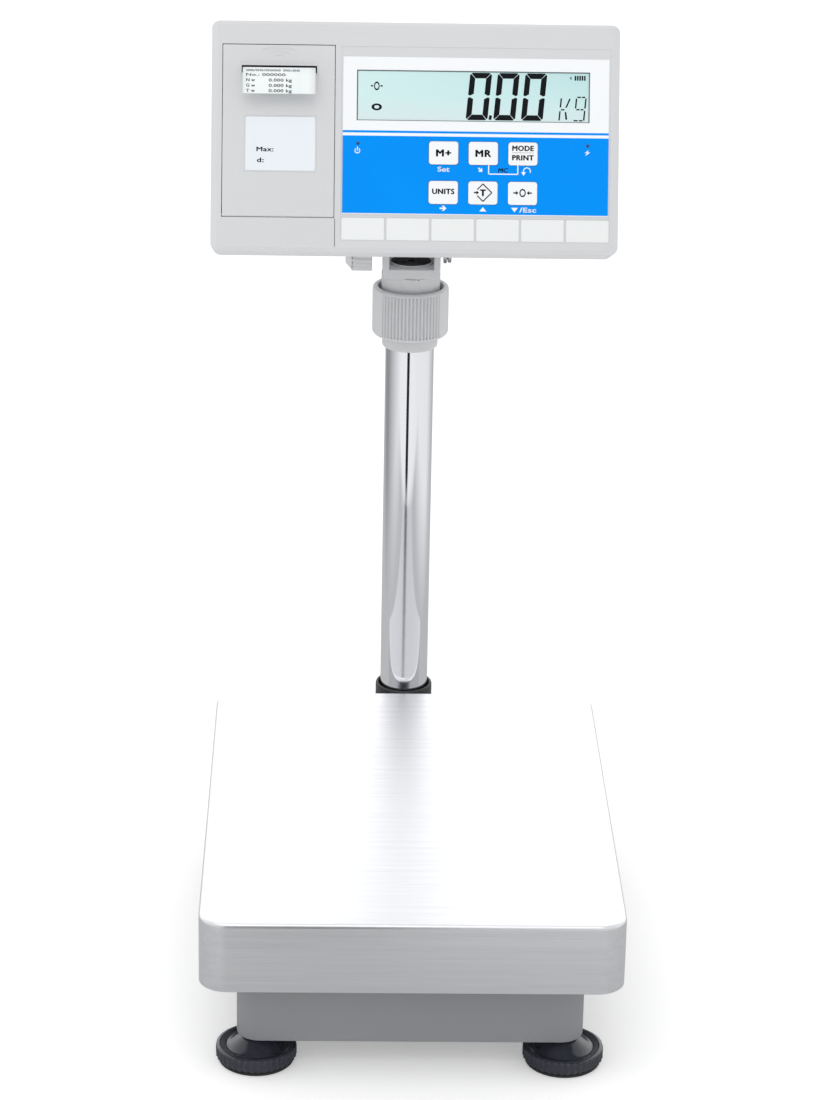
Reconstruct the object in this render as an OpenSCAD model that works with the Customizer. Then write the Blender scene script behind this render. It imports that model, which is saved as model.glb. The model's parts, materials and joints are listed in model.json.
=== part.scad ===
// Bench scale: a stainless pan on a low base with levelling feet, a column behind the pan, and a
// tilting indicator with a display, six keys and a slip printer.
// The origin is on the bench under the pan's centre, +X to the right, +Y to the back, +Z up.

/* [Pan] */
// Width of the weighing pan
pan_w = 300; // [290:5:320]
// Depth of the weighing pan
pan_d = 400; // [390:5:420]
// Height of the pan's top above the bench
pan_top = 128; // [127:0.5:132]
// Height of the pan's folded skirt
skirt_h = 53; // [48:1:54]
// Thickness of the pan's sheet
pan_t = 1.2; // [1:0.1:1.5]
// Radius of the pan's upright corners
pan_r = 20; // [16:1:24]

/* [Base] */
// How far the base stands inside the pan on each side
base_inset = 26; // [25:0.5:28]
// Height of the base's underside above the bench
base_z = 21.5; // [21:0.5:24]
// Height of the base's deck above the bench
deck_z = 80; // [79:0.5:81]
// Thickness of the base's sheet
base_t = 2; // [1.5:0.5:2.5]
// Radius of the base's upright corners
base_r = 17; // [14:1:20]

/* [Feet] */
// Diameter of a foot over its ribs
foot_d = 58; // [52:1:60]
// Number of grip ribs round a foot
foot_ribs = 38; // [30:1:44]
// Distance from the base's side to a foot's axis
foot_inset = 14; // [13:0.5:16]
// Diameter of a foot's threaded stud
stud_d = 10; // [8:1:12]

/* [Column] */
// Diameter of the column tube
column_d = 38; // [36:0.5:40]
// Wall of the column tube
column_t = 1.5; // [1.2:0.1:2]
// Distance from the pan's back edge to the column's axis
column_gap = 32; // [31:0.5:36]
// Height of the column's top end
column_top = 468; // [440:1:490]
// Diameter of the locking nut
nut_d = 59.4; // [56:0.2:62]
// Diameter of the swivel neck
neck_d = 45.7; // [45:0.1:47]

/* [Indicator] */
// Width of the indicator's housing
head_w = 304.5; // [300:0.5:310]
// Height of the indicator's housing, along its face
head_h = 171.4; // [170:0.2:176]
// Depth of the indicator's housing
head_d = 60; // [58:0.5:62]
// Angle that the face leans back at rest
lean = 20; // [15:1:25]
// Diameter of the tilt knob
knob_d = 34.8; // [30:0.2:38]
// Width of a key
key_w = 21.9; // [20:0.1:23]
// Height of a key
key_h = 17.2; // [16:0.1:18]
// Distance between neighbouring keys
key_pitch = 29.6; // [28.5:0.1:30.5]

/* [Hidden] */
$fn = 48;
eps = 0.01;        // overshoot of a cut past the face that it opens
run = 0.05;        // radial clearance of a shaft that turns or slides in a bore
gap = 0.3;         // clearance between pieces that move past each other

// Base, from the pan
base_w = pan_w - 2 * base_inset;
base_d = pan_d - 2 * base_inset;
foot_x = base_w / 2 - foot_inset;
foot_y = base_d / 2 - foot_inset;
pan_under = pan_top - pan_t;

// Load cell stack, upwards from the deck
spacer_t = 5;
cell_l = 130;
cell_w = 30;
cell_h = 22;
cell_z = deck_z + spacer_t;
cell_top = cell_z + cell_h;
frame_z = cell_top + spacer_t;
frame_t = 3;
cell_bolt_r = 3;
cell_bolt_x = 8;
cell_bolt_y = [42, 57];
stop_r = 4;
stop_x = 60;
stop_y = 100;
stop_gap = 0.8;
bumper_x = 120;
bumper_y = 148;
channel_w = 80;
channel_h = 20;
channel_t = 2.5;

// Column and its bracket
col_r = column_d / 2;
col_y = pan_d / 2 + column_gap;
bush_r = 22.75;
bush_top = 124.3;
socket_r = 25;
socket_top = 100;
bracket_z = 30;
bracket_t = 4;
screw_r = 3;
clamp_z = [50, 88];
cable_r = 2.5;
cable_z = 66;
cable_bend = 12;
cable_drop_y = 102;

// Swivel head and locking nut
nut_r = nut_d / 2;
neck_r = neck_d / 2;
ferrule_r = 21.7;
ferrule_z = 411;
nut_z = 420.5;
nut_top = 460;
neck_z = 432;
box_z = 470.7;
sill_z = 478.5;
box_w = 44.2;
box_d = 44;
box_wall = 4.9;
box_top = 501;
tilt_z = 489;
tilt_r = 3;
ear_r = 6.5;
ear_t = 2.5;
ear_x = box_w / 2 + gap;
washer_t = 3;
knob_x = 30.5;
knob_w = 20.5;

// Indicator face: the point that face coordinates are measured from
face_y = 170;
face_z = 594.6;
face_top = 84.4;
face_mid = face_top - head_h / 2;
bevel_side = 4.6;
bevel_end = 3;
bevel_depth = 4;
corner_r = 6;
wall = 2.5;
front_t = 3;
split_d = 30;

// The tilt axis in face coordinates: depth behind the face, and height along it
axis_d = (col_y - face_y) * cos(lean) - (tilt_z - face_z) * sin(lean);
axis_v = (col_y - face_y) * sin(lean) + (tilt_z - face_z) * cos(lean);

// Panel layout on the face, as [left, right, bottom, top]
recess = [-55.4, 145.8, -78.3, 66];
sheet = [-54.2, 144.2, -58.4, 58.4];
lcd = [-44, 129.8, 11.1, 48.7];
recess_t = 0.5;
cells = 6;
cell_row = [-78.3, -60.8];
key_x0 = 21.1;
key_v = [-12.5, -41.9];
key_rise = 0.8;
key_depth = 2.2;

// Printer
door = [-144.2, -60, -61.8, 66.8];
door_t = 3;
door_pin_r = 1;
door_v = -60;
slot = [-129.8, -73.8, 45.5, 52.7];
platen_v = 44;
platen_d = 12;
platen_r = 5;
shaft_r = 1.5;
gear_module = 0.5;
gear_teeth = 24;
pinion_teeth = 12;
mesh_angle = 50;
mesh_gap = 0.1;
mesh_r = gear_module * (gear_teeth + pinion_teeth) / 2 + mesh_gap;
pinion_v = platen_v - mesh_r * sin(mesh_angle);
pinion_d = platen_d + mesh_r * cos(mesh_angle);
gear_x = -69.5;
gear_w = 3;
roll_v = -12;
roll_d = 29;
roll_r = 22;
core_r = 6;
roll_x = [-131, -74];
frame_side = [-141, -62];
side_t = 2;
paper_w = 54;
paper_t = 0.3;
paper_x = -101.8;
paper_bend = 9;
paper_end = 28.8;

// ---- Shared shapes ----

module rounded(w, d, r) {
    square([w - 2 * r, d], center = true);
    square([w, d - 2 * r], center = true);
    for (x = [-1, 1], y = [-1, 1]) translate([x * (w / 2 - r), y * (d / 2 - r)]) circle(r);
}

module plate(w, d, r, z0, z1) {
    translate([0, 0, z0]) linear_extrude(z1 - z0) rounded(w, d, r);
}

module block(lo, hi) {
    translate(lo) cube(hi - lo);
}

module rod_x(r, x0, x1) {
    translate([x0, 0, 0]) rotate([0, 90, 0]) cylinder(r = r, h = x1 - x0);
}

module rod_y(r, y0, y1) {
    translate([0, y0, 0]) rotate([-90, 0, 0]) cylinder(r = r, h = y1 - y0);
}

module rod_z(r, z0, z1) {
    translate([0, 0, z0]) cylinder(r = r, h = z1 - z0);
}

// Puts its children in face coordinates: x across, y into the housing, z up along the face
module on_face() {
    translate([0, face_y, face_z]) rotate([-lean, 0, 0]) children();
}

// A slab with rounded corners, standing in the face's plane from depth d0 to d1
module slab(w, h, r, d0, d1, v = 0, x = 0) {
    translate([x, d1, v]) rotate([90, 0, 0]) linear_extrude(d1 - d0) rounded(w, h, r);
}

// A block over a layout rectangle [left, right, bottom, top]
module panel(area, d0, d1, grow = 0) {
    block([area[0] - grow, d0, area[2] - grow], [area[1] + grow, d1, area[3] + grow]);
}

// An outline with n ribs between radii r_in and r_out
function ribbed(n, r_in, r_out) = [
    for (i = [0 : n - 1], c = [[0.05, r_in], [0.3, r_out], [0.7, r_out], [0.95, r_in]])
        let (a = 360 * (i + c[0]) / n) [c[1] * cos(a), c[1] * sin(a)]
];

// A spur gear of straight-sided teeth, along X, turned by the given share of a tooth
module gear(teeth, x0, w, phase = 0) {
    r = gear_module * teeth / 2;
    translate([x0, 0, 0]) rotate([0, 90, 0]) linear_extrude(w) polygon([
        for (i = [0 : teeth - 1], c = [[-0.32, -0.6], [-0.12, 0.42], [0.12, 0.42], [0.32, -0.6]])
            let (a = 360 * (i + c[0] + phase) / teeth, q = r + c[1] * 2 * gear_module)
                [q * cos(a), q * sin(a)]
    ]);
}

module cell_bolt_places(side) {
    for (x = [-1, 1], y = cell_bolt_y) translate([x * cell_bolt_x, side * y, 0]) children();
}

module four(x, y) {
    for (i = [-1, 1], j = [-1, 1]) translate([i * x, j * y, 0]) children();
}

// ---- Base ----

module base_housing() {
    in_w = base_w - 2 * base_t;
    in_d = base_d - 2 * base_t;
    in_r = base_r - base_t;
    lip = 12;
    color("#8f9194") difference() {
        union() {
            difference() {
                plate(base_w, base_d, base_r, base_z, deck_z);
                plate(in_w, in_d, in_r, base_z - eps, deck_z - base_t);
            }
            difference() {
                plate(in_w + base_t, in_d + base_t, in_r, base_z, base_z + base_t);
                plate(in_w - 2 * lip, in_d - 2 * lip, 4, base_z - eps, base_z + base_t + eps);
            }
        }
        four(foot_x, foot_y) rod_z(stud_d / 2 + 2, base_z - eps, base_z + base_t + eps);
        four(stop_x, stop_y) rod_z(stop_r, deck_z - base_t - eps, deck_z + eps);
        cell_bolt_places(1) rod_z(cell_bolt_r, deck_z - base_t - eps, deck_z + eps);
        translate([0, cable_drop_y, 0]) rod_z(7, deck_z - base_t - eps, deck_z + eps);
        translate([0, 0, cable_z]) rod_y(5, base_d / 2 - base_t - eps, base_d / 2 + eps);
        bracket_screw_places() rod_y(screw_r, base_d / 2 - base_t - eps, base_d / 2 + eps);
    }
}

module cross_member() {
    top = deck_z - base_t;
    length = base_d - 18;
    color("#7d8084") difference() {
        translate([-channel_w / 2, -length / 2, top - channel_h]) cube([channel_w, length, channel_h]);
        translate([-channel_w / 2 + channel_t, -length / 2 - eps, top - channel_h - eps])
            cube([channel_w - 2 * channel_t, length + 2 * eps, channel_h - channel_t + eps]);
        cell_bolt_places(1) rod_z(cell_bolt_r, top - channel_t - eps, top + eps);
        translate([0, cable_drop_y, 0]) rod_z(7, top - channel_t - eps, top + eps);
    }
}

module corner_plates() {
    z0 = base_z + base_t;
    size = 36;
    color("#7d8084") for (x = [-1, 1], y = [-1, 1]) difference() {
        union() {
            intersection() {
                plate(base_w - 2 * base_t - 1, base_d - 2 * base_t - 1, base_r - base_t, z0, z0 + 3);
                translate([x * foot_x, y * foot_y, z0 + 1.5]) cube([size, size, 3], center = true);
            }
            translate([x * foot_x, y * foot_y, z0 + 3]) cylinder(r = 9, h = 8, $fn = 6);
        }
        translate([x * foot_x, y * foot_y, 0]) rod_z(stud_d / 2 + run, z0 - eps, z0 + 11 + eps);
    }
}

module load_cell() {
    z_mid = cell_z + cell_h / 2;
    color("#c9cbce") difference() {
        block([-cell_w / 2, -cell_l / 2, cell_z], [cell_w / 2, cell_l / 2, cell_top]);
        for (y = [-11, 11]) translate([0, y, z_mid]) rod_x(8, -cell_w / 2 - eps, cell_w / 2 + eps);
        block([-cell_w / 2 - eps, -11, z_mid - 3], [cell_w / 2 + eps, 11, z_mid + 3]);
        cell_bolt_places(1) rod_z(cell_bolt_r, cell_z - eps, cell_z + 12);
        cell_bolt_places(-1) rod_z(cell_bolt_r + run, cell_top - 15, cell_top + eps);
    }
}

module lower_spacer() {
    color("#9a9da1") difference() {
        block([-cell_w / 2, cell_l / 2 - 31, deck_z], [cell_w / 2, cell_l / 2, cell_z]);
        cell_bolt_places(1) rod_z(cell_bolt_r, deck_z - eps, cell_z + eps);
    }
}

// The load cell's four bolts, the bracket's four screws and the socket's two clamp screws
module base_bolts() {
    under = deck_z - base_t - channel_t;
    wall_y = base_d / 2;
    color("#3c3f44") {
        cell_bolt_places(1) {
            rod_z(5, under - 6, under);
            rod_z(cell_bolt_r, under - eps, cell_z + 12);
        }
        bracket_screw_places() {
            rod_y(screw_r, wall_y - 8, wall_y + bracket_t + eps);
            rod_y(5, wall_y + bracket_t, wall_y + bracket_t + 5);
        }
        for (z = clamp_z) translate([0, 0, z]) {
            rod_y(screw_r, col_y + col_r, col_y + socket_r + eps);
            rod_y(5, col_y + socket_r, col_y + socket_r + 5);
        }
    }
}

module overload_stops() {
    color("#8b8e92") four(stop_x, stop_y) {
        rod_z(stop_r, deck_z - 14, frame_z - stop_gap);
        translate([0, 0, deck_z]) cylinder(r = 7.5, h = 6, $fn = 6);
    }
}

module spirit_level() {
    color("#9fd36a") translate([95, -150, 0]) {
        rod_z(10, deck_z, deck_z + 8);
        rod_z(8, deck_z + 8 - eps, deck_z + 10);
    }
}

module bracket_screw_places() {
    for (x = [-40, 40], z = [38, 64]) translate([x, 0, z]) children();
}

module pillar_bracket() {
    wall_y = base_d / 2;
    web = socket_r - 3;
    color("#5c5f64") difference() {
        union() {
            block([-50, wall_y, bracket_z], [50, wall_y + bracket_t, 72]);
            for (x = [-web, web - bracket_t])
                block([x, wall_y + bracket_t - eps, bracket_z], [x + bracket_t, col_y, 70]);
            block([-web, wall_y + bracket_t - eps, bracket_z], [web, col_y, bracket_z + bracket_t]);
        }
        translate([0, col_y, 0]) rod_z(socket_r, bracket_z - eps, socket_top);
        bracket_screw_places() rod_y(screw_r, wall_y - eps, wall_y + bracket_t + eps);
        translate([0, 0, cable_z]) rod_y(5, wall_y - eps, col_y);
    }
}

module column_socket() {
    wall_y = base_d / 2;
    color("#5c5f64") difference() {
        translate([0, col_y, 0]) rod_z(socket_r, bracket_z, socket_top);
        translate([0, col_y, 0]) rod_z(bush_r, bracket_z + bracket_t, socket_top + eps);
        translate([0, 0, cable_z]) rod_y(5, wall_y - eps, col_y);
        for (z = clamp_z) translate([0, 0, z]) rod_y(screw_r, col_y, col_y + socket_r + eps);
    }
}

module column_bush() {
    z0 = bracket_z + bracket_t;
    color("#1d1f22") difference() {
        translate([0, col_y, 0]) rod_z(bush_r, z0, bush_top);
        translate([0, col_y, 0]) rod_z(col_r, z0 - eps, bush_top + eps);
        translate([0, col_y, 0]) rod_z(col_r + 1.6, bush_top - 6, bush_top + eps);
        translate([0, 0, cable_z]) rod_y(5, col_y - socket_r, col_y);
        for (z = clamp_z) translate([0, 0, z]) rod_y(screw_r, col_y, col_y + socket_r);
    }
}

module column() {
    z0 = bracket_z + bracket_t;
    color("#dfe2e6") difference() {
        translate([0, col_y, 0]) rod_z(col_r, z0, column_top);
        translate([0, col_y, 0]) rod_z(col_r - column_t, z0 - eps, column_top + eps);
        translate([0, 0, cable_z]) rod_y(5, col_y - socket_r, col_y);
    }
}

// A quarter bend of the cable in the plane x = 0, about the point [y, z], from the start angle
module cable_elbow(y, z, start) {
    translate([0, y, z]) rotate([90, 0, 90]) rotate([0, 0, start])
        rotate_extrude(angle = 90) translate([cable_bend, 0]) circle(cable_r);
}

module load_cell_cable() {
    z_cell = cell_z + cell_h / 2;
    y_in = cable_drop_y - cable_bend;
    color("#26282b") {
        translate([0, 0, z_cell]) rod_y(cable_r, cell_l / 2, y_in);
        cable_elbow(y_in, z_cell - cable_bend, 0);
        translate([0, cable_drop_y, 0]) rod_z(cable_r, cable_z + cable_bend, z_cell - cable_bend);
        cable_elbow(cable_drop_y + cable_bend, cable_z + cable_bend, 180);
        translate([0, 0, cable_z]) rod_y(cable_r, cable_drop_y + cable_bend, col_y - cable_bend);
        cable_elbow(col_y - cable_bend, cable_z + cable_bend, 270);
        translate([0, col_y, 0]) rod_z(cable_r, cable_z + cable_bend, column_top + 6);
    }
}

// ---- Platform and pan ----

module upper_spacer() {
    color("#9a9da1") difference() {
        block([-cell_w / 2, -cell_l / 2, cell_top], [cell_w / 2, 31 - cell_l / 2, frame_z]);
        cell_bolt_places(-1) rod_z(cell_bolt_r, cell_top - eps, frame_z + eps);
    }
}

module platform_frame() {
    half_w = 132;
    half_d = 165;
    arm = 35;
    spine = 70;
    lip_h = 13;
    color("#6f7276") difference() {
        union() {
            block([-spine, -half_d, frame_z], [spine, half_d, frame_z + frame_t]);
            for (y = [-half_d, half_d - arm])
                block([-half_w, y, frame_z], [half_w, y + arm, frame_z + frame_t]);
            for (x = [-spine, spine - frame_t])
                block([x, arm - half_d, frame_z - lip_h], [x + frame_t, half_d - arm, frame_z + eps]);
            for (y = [-half_d, half_d - frame_t])
                block([-half_w, y, frame_z - lip_h], [half_w, y + frame_t, frame_z + eps]);
        }
        cell_bolt_places(-1) rod_z(cell_bolt_r, frame_z - eps, frame_z + frame_t + eps);
        for (y = [-95, 95]) translate([0, y, 0]) rod_z(25, frame_z - eps, frame_z + frame_t + eps);
    }
}

module platform_bolts() {
    head_z = frame_z + frame_t;
    color("#3c3f44") cell_bolt_places(-1) {
        rod_z(5.5, head_z, head_z + 4);
        rod_z(cell_bolt_r, cell_top - 12, head_z + eps);
    }
}

module pan_bumpers() {
    color("#26282b") four(bumper_x, bumper_y) rod_z(10, frame_z + frame_t, pan_under);
}

module pan() {
    color("#e4e6e8") difference() {
        plate(pan_w, pan_d, pan_r, pan_top - skirt_h, pan_top);
        plate(pan_w - 2 * pan_t, pan_d - 2 * pan_t, pan_r - pan_t, pan_top - skirt_h - eps, pan_under);
    }
}

// ---- Feet ----

module foot_sole(x, y) {
    color("#1b1c1e") translate([x * foot_x, y * foot_y, 0]) rod_z(foot_d / 2 - 2, 0, 3);
}

module foot(x, y) {
    r = foot_d / 2;
    z0 = 3 + gap / 2;
    color("#23262c") translate([x * foot_x, y * foot_y, 0]) {
        translate([0, 0, z0]) linear_extrude(12 - z0) polygon(ribbed(foot_ribs, r - 1.4, r));
        rotate_extrude() polygon([
            [0, z0], [r - 2, z0], [r - 2, 12.4], [r - 2.8, 13], [r - 4, 13], [r - 5, 12],
            [r - 7, 11.6], [18, 14], [13, 17.5], [9, base_z - 1.4], [8, base_z - 1], [0, base_z - 1]
        ]);
    }
    color("#b9bcc0") translate([x * foot_x, y * foot_y, 0]) rod_z(stud_d / 2, base_z - 2, 62);
}

module foot_sole_front_left() foot_sole(-1, -1);
module foot_sole_front_right() foot_sole(1, -1);
module foot_sole_back_left() foot_sole(-1, 1);
module foot_sole_back_right() foot_sole(1, 1);
module foot_front_left() foot(-1, -1);
module foot_front_right() foot(1, -1);
module foot_back_left() foot(-1, 1);
module foot_back_right() foot(1, 1);

// ---- Top of the column ----

module swivel_head() {
    y0 = col_y - box_d / 2;
    y1 = col_y + box_d / 2;
    x1 = box_w / 2;
    color("#c6c8ca") difference() {
        union() {
            translate([0, col_y, 0]) rod_z(neck_r, neck_z, box_z + eps);
            block([-x1, y0, box_z], [x1, y1, sill_z]);
            for (x = [-x1, x1 - box_wall]) block([x, y0, sill_z - eps], [x + box_wall, y1, box_top]);
            block([-x1, y1 - box_wall, sill_z - eps], [x1, y1, box_top]);
        }
        translate([0, col_y, 0]) rod_z(col_r + run, neck_z - eps, column_top + 0.5);
        translate([0, col_y, 0]) rod_z(13, column_top, sill_z + eps);
        translate([0, col_y, tilt_z]) rod_x(tilt_r + run, -x1 - eps, x1 + eps);
    }
}

module cable_grommet() {
    color("#141518") translate([0, col_y, 0]) difference() {
        union() {
            rod_z(13, column_top + 2, sill_z);
            rod_z(15.5, sill_z, sill_z + 1.5);
        }
        rod_z(3, column_top + 1, sill_z + 3);
    }
}

module clamp_ferrule() {
    color("#cfd1d3") translate([0, col_y, 0]) difference() {
        rod_z(ferrule_r, ferrule_z, neck_z - 1);
        rod_z(col_r + run, ferrule_z - eps, neck_z);
    }
}

module locking_nut() {
    color("#c9cbcd") translate([0, col_y, 0]) difference() {
        rod_z(nut_r, nut_z, nut_top);
        rod_z(ferrule_r + run, nut_z - eps, nut_z + 5);
        rod_z(neck_r + run, nut_z + 4, nut_top - 14);
        rod_z(25.5, nut_top - 15, nut_top + eps);
    }
}

// ---- Indicator bracket ----

module bracket_holes() {
    for (x = [-35, 35], v = [-74, -38]) translate([x, 0, v]) children();
}

module tilt_bracket() {
    color("#b4b7ba") on_face() difference() {
        union() {
            block([-45, head_d, -84], [45, head_d + 3, -28]);
            for (x = [-ear_x - ear_t, ear_x]) translate([x, 0, 0]) {
                block([0, head_d + 3 - eps, -84], [ear_t, head_d + 12, -58]);
                rotate([90, 0, 90]) linear_extrude(ear_t) {
                    polygon([
                        [head_d + 3, -84], [axis_d, axis_v - ear_r],
                        [axis_d, axis_v + ear_r], [head_d + 3, -58]
                    ]);
                    translate([axis_d, axis_v]) circle(ear_r);
                }
            }
        }
        translate([0, axis_d, axis_v]) rod_x(tilt_r, -40, 40);
        bracket_holes() rod_y(2, head_d - eps, head_d + 3 + eps);
    }
}

module cover_screw_places() {
    for (x = [-140, 140], v = [-74, 72]) translate([x, 0, v]) children();
}

module indicator_screws() {
    color("#85888c") on_face() {
        bracket_holes() {
            rod_y(2, head_d - 6, head_d + 3 + eps);
            rod_y(3.6, head_d + 3, head_d + 5.6);
        }
        cover_screw_places() {
            rod_y(2, split_d + 2, head_d - 2 + eps);
            rod_y(3.6, head_d - 2, head_d);
        }
    }
}

module tilt_bolt() {
    out = ear_x + ear_t;
    color("#7b7e82") on_face() translate([0, axis_d, axis_v]) {
        rod_x(tilt_r, -knob_x - 11, out + eps);
        rod_x(11, out, out + 2.5);
        rod_x(8, out + 2.5 - eps, out + 3.3);
        rod_x(10.5, out + 3.3 - eps, out + 6);
    }
}

module tilt_washer() {
    x1 = -ear_x - ear_t - gap / 3;
    color("#85888c") on_face() translate([0, axis_d, axis_v]) difference() {
        rod_x(ear_r - 0.1, x1 - washer_t, x1);
        rod_x(tilt_r + run, x1 - washer_t - eps, x1 + eps);
    }
}

module tilt_knob() {
    x1 = -ear_x - ear_t - washer_t - gap;
    r = knob_d / 2;
    color("#c2c4c6") on_face() translate([0, axis_d, axis_v]) difference() {
        union() {
            rod_x(ear_r - 0.1, -knob_x - eps, x1);
            translate([-knob_x - knob_w + 5, 0, 0]) rotate([0, 90, 0])
                linear_extrude(knob_w - 5) polygon(ribbed(24, r - 0.8, r));
            translate([-knob_x - knob_w, 0, 0]) rotate([0, 90, 0])
                rotate_extrude() polygon([[0, 0], [r - 6, 0], [r - 0.8, 5 + eps], [0, 5 + eps]]);
        }
        rod_x(tilt_r + run, -knob_x - 15, x1 + eps);
    }
}

// ---- Indicator housing ----

module head_outline(d0, d1, inset = 0) {
    slab(head_w - 2 * inset, head_h - 2 * inset, corner_r - min(inset, 3), d0, d1, face_mid);
}

module key_places() {
    for (v = key_v, i = [0 : 2]) translate([key_x0 + i * key_pitch, 0, v]) children();
}

module front_bezel() {
    color("#dcdddf") on_face() difference() {
        hull() {
            slab(head_w - 2 * bevel_side, head_h - 2 * bevel_end, 3, 0, 0.1, face_mid, $fn = 32);
            head_outline(bevel_depth, split_d, $fn = 32);
        }
        head_outline(front_t, split_d + eps, wall);
        difference() {
            panel(recess, -eps, recess_t);
            for (i = [1 : cells - 1])
                translate([recess[0] + i * (recess[1] - recess[0]) / cells - 0.4, -1, cell_row[0]])
                    cube([0.8, 3, cell_row[1] - cell_row[0]]);
            panel([recess[0], recess[1], cell_row[1], cell_row[1] + 1], -1, 3);
        }
        panel(lcd, -eps, front_t + eps);
        key_places() slab(key_w + 2 * gap, key_h + 2 * gap, 2.5, -eps, front_t + eps);
        panel(door, -eps, front_t + eps);
        translate([0, door_t / 2, door_v])
            rod_x(door_pin_r + run, door[0] - 2, door[1] + 2);
    }
}

module rear_cover() {
    color("#d3d5d7") on_face() difference() {
        hull() {
            head_outline(split_d, head_d - 5, $fn = 32);
            head_outline(head_d - 0.1, head_d, 4, $fn = 32);
        }
        head_outline(split_d - eps, head_d - wall, wall);
        bracket_holes() rod_y(2, head_d - wall - eps, head_d + eps);
        cover_screw_places() {
            rod_y(2, head_d - wall - eps, head_d + eps);
            rod_y(3.6, head_d - 2, head_d + eps);
        }
        translate([-90, 0, -60]) rod_y(6, head_d - wall - eps, head_d + eps);
        block([-130, head_d - wall - eps, -66], [-105, head_d + eps, -54]);
        block([82, head_d - wall - eps, -70.5], [98, head_d + eps, -49.5]);
    }
}

module overlay() {
    color("#f4f6f8") on_face() difference() {
        panel(sheet, 0.1, recess_t);
        panel(lcd, -eps, front_t);
        key_places() slab(key_w + 2 * gap, key_h + 2 * gap, 2.5, -eps, front_t);
    }
}

module display_window() {
    color("#cfe9e0") on_face() panel(lcd, 0.6, 2.6, -0.1);
}

module display_module() {
    color("#3f7d5a") on_face() {
        panel(lcd, front_t + 0.5, 10, 3);
        panel(lcd, 10 - eps, 11.6, 5);
    }
}

module key_board() {
    color("#2f6f4f") on_face() {
        block([5, 6.2, -56], [97, 7.8, -1]);
        key_places() block([-3, key_depth + 0.7, -3], [3, 6.2 + eps, 3]);
    }
}

module main_board() {
    color("#2f6f4f") on_face() {
        block([-46, 16, -72], [138, 17.6, 60]);
        block([-20, 17.6 - eps, 20], [0, 19.4, 40]);
        block([30, 17.6 - eps, 10], [60, 26, 26]);
        block([90, 17.6 - eps, 30], [104, 28, 44]);
    }
}

module battery_pack() {
    color("#3b4a8f") on_face() block([40, 32, -46], [138, head_d - wall, 0]);
}

module power_inlet() {
    color("#1b1c1e") on_face() translate([-90, 0, -60]) difference() {
        union() {
            rod_y(6, head_d - 12, head_d + 0.5);
            block([-7, head_d - 14, -7], [7, head_d - wall, 7]);
        }
        rod_y(3.2, head_d - 9, head_d + 1);
    }
    color("#c8cacc") on_face() translate([-90, 0, -60]) rod_y(1, head_d - 9 - eps, head_d - 1);
}

module serial_port() {
    color("#9a9da1") on_face() difference() {
        block([-130, head_d - 10, -66], [-105, head_d + 0.5, -54]);
        block([-127, head_d - 5, -64], [-108, head_d + 1, -56]);
    }
}

module power_switch() {
    color("#1b1c1e") on_face() block([83, head_d - 5, -69.5], [97, head_d + 1.5, -50.5]);
}

module key(i) {
    color("#f2f3f4") on_face()
        slab(key_w, key_h, 2.2, -key_rise, key_depth, key_v[floor(i / 3)], key_x0 + (i % 3) * key_pitch);
}

module key_1() key(0);
module key_2() key(1);
module key_3() key(2);
module key_4() key(3);
module key_5() key(4);
module key_6() key(5);

// ---- Printer ----

module printer_frame() {
    color("#4a4d52") on_face() difference() {
        union() {
            for (x = [frame_side[0], frame_side[1] - side_t])
                block([x, 8, -48], [x + side_t, head_d - wall, 62]);
            block([frame_side[0], head_d - wall - 2, -48], [frame_side[1], head_d - wall, 62]);
            block([frame_side[0], 20.6, 42], [frame_side[1], 22.6, 52]);
            translate([0, roll_d, roll_v]) {
                rod_x(core_r - run, frame_side[0], roll_x[0] + 4);
                rod_x(core_r - run, roll_x[1] - 4, frame_side[1]);
            }
        }
        translate([0, pinion_d, pinion_v]) rod_x(1.6, frame_side[1] - side_t - eps, frame_side[1] + eps);
    }
}

module print_head() {
    color("#24262a") on_face() block([-128, 17.4, 41], [-75, 20.6, 52]);
}

module printer_motor() {
    color("#b4b7ba") on_face() translate([0, pinion_d, pinion_v]) difference() {
        rod_x(7, frame_side[1], -50);
        rod_x(1 + run, frame_side[1] - eps, -53);
    }
}

module motor_pinion() {
    color("#d9c27a") on_face() translate([0, pinion_d, pinion_v]) {
        rotate([-mesh_angle, 0, 0]) gear(pinion_teeth, gear_x, gear_w, 0);
        rod_x(1, gear_x + gear_w - eps, -54);
    }
}

module platen_roller() {
    color("#2a2c30") on_face() translate([0, platen_d, platen_v]) {
        rod_x(platen_r, -128, -75);
        rod_x(shaft_r, -135.5, gear_x + eps);
        rotate([-mesh_angle, 0, 0]) gear(gear_teeth, gear_x, gear_w, 0.5);
    }
}

module paper_roll() {
    color("#fafafa") on_face() translate([0, roll_d, roll_v]) difference() {
        rod_x(roll_r, roll_x[0], roll_x[1]);
        rod_x(core_r, roll_x[0] - eps, roll_x[1] + eps);
    }
}

module paper_door() {
    x0 = door[0] + 0.4;
    x1 = door[1] - 0.4;
    top = door[3] - 0.5;
    color("#dcdddf") on_face() {
        difference() {
            union() {
                block([x0, 0, door_v], [x1, door_t, top]);
                translate([0, door_t / 2, door_v]) {
                    rod_x(door_t / 2, x0, x1);
                    rod_x(door_pin_r, door[0] - 1.6, x0 + eps);
                    rod_x(door_pin_r, x1 - eps, door[1] + 1.6);
                }
                for (x = [-134, -73]) block([x, door_t - eps, platen_v - 4], [x + 3, platen_d + 5, platen_v + 4]);
            }
            panel(slot, -1, door_t + 1);
            translate([0, platen_d, platen_v]) rod_x(shaft_r + run, -140, -65);
        }
    }
}

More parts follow.
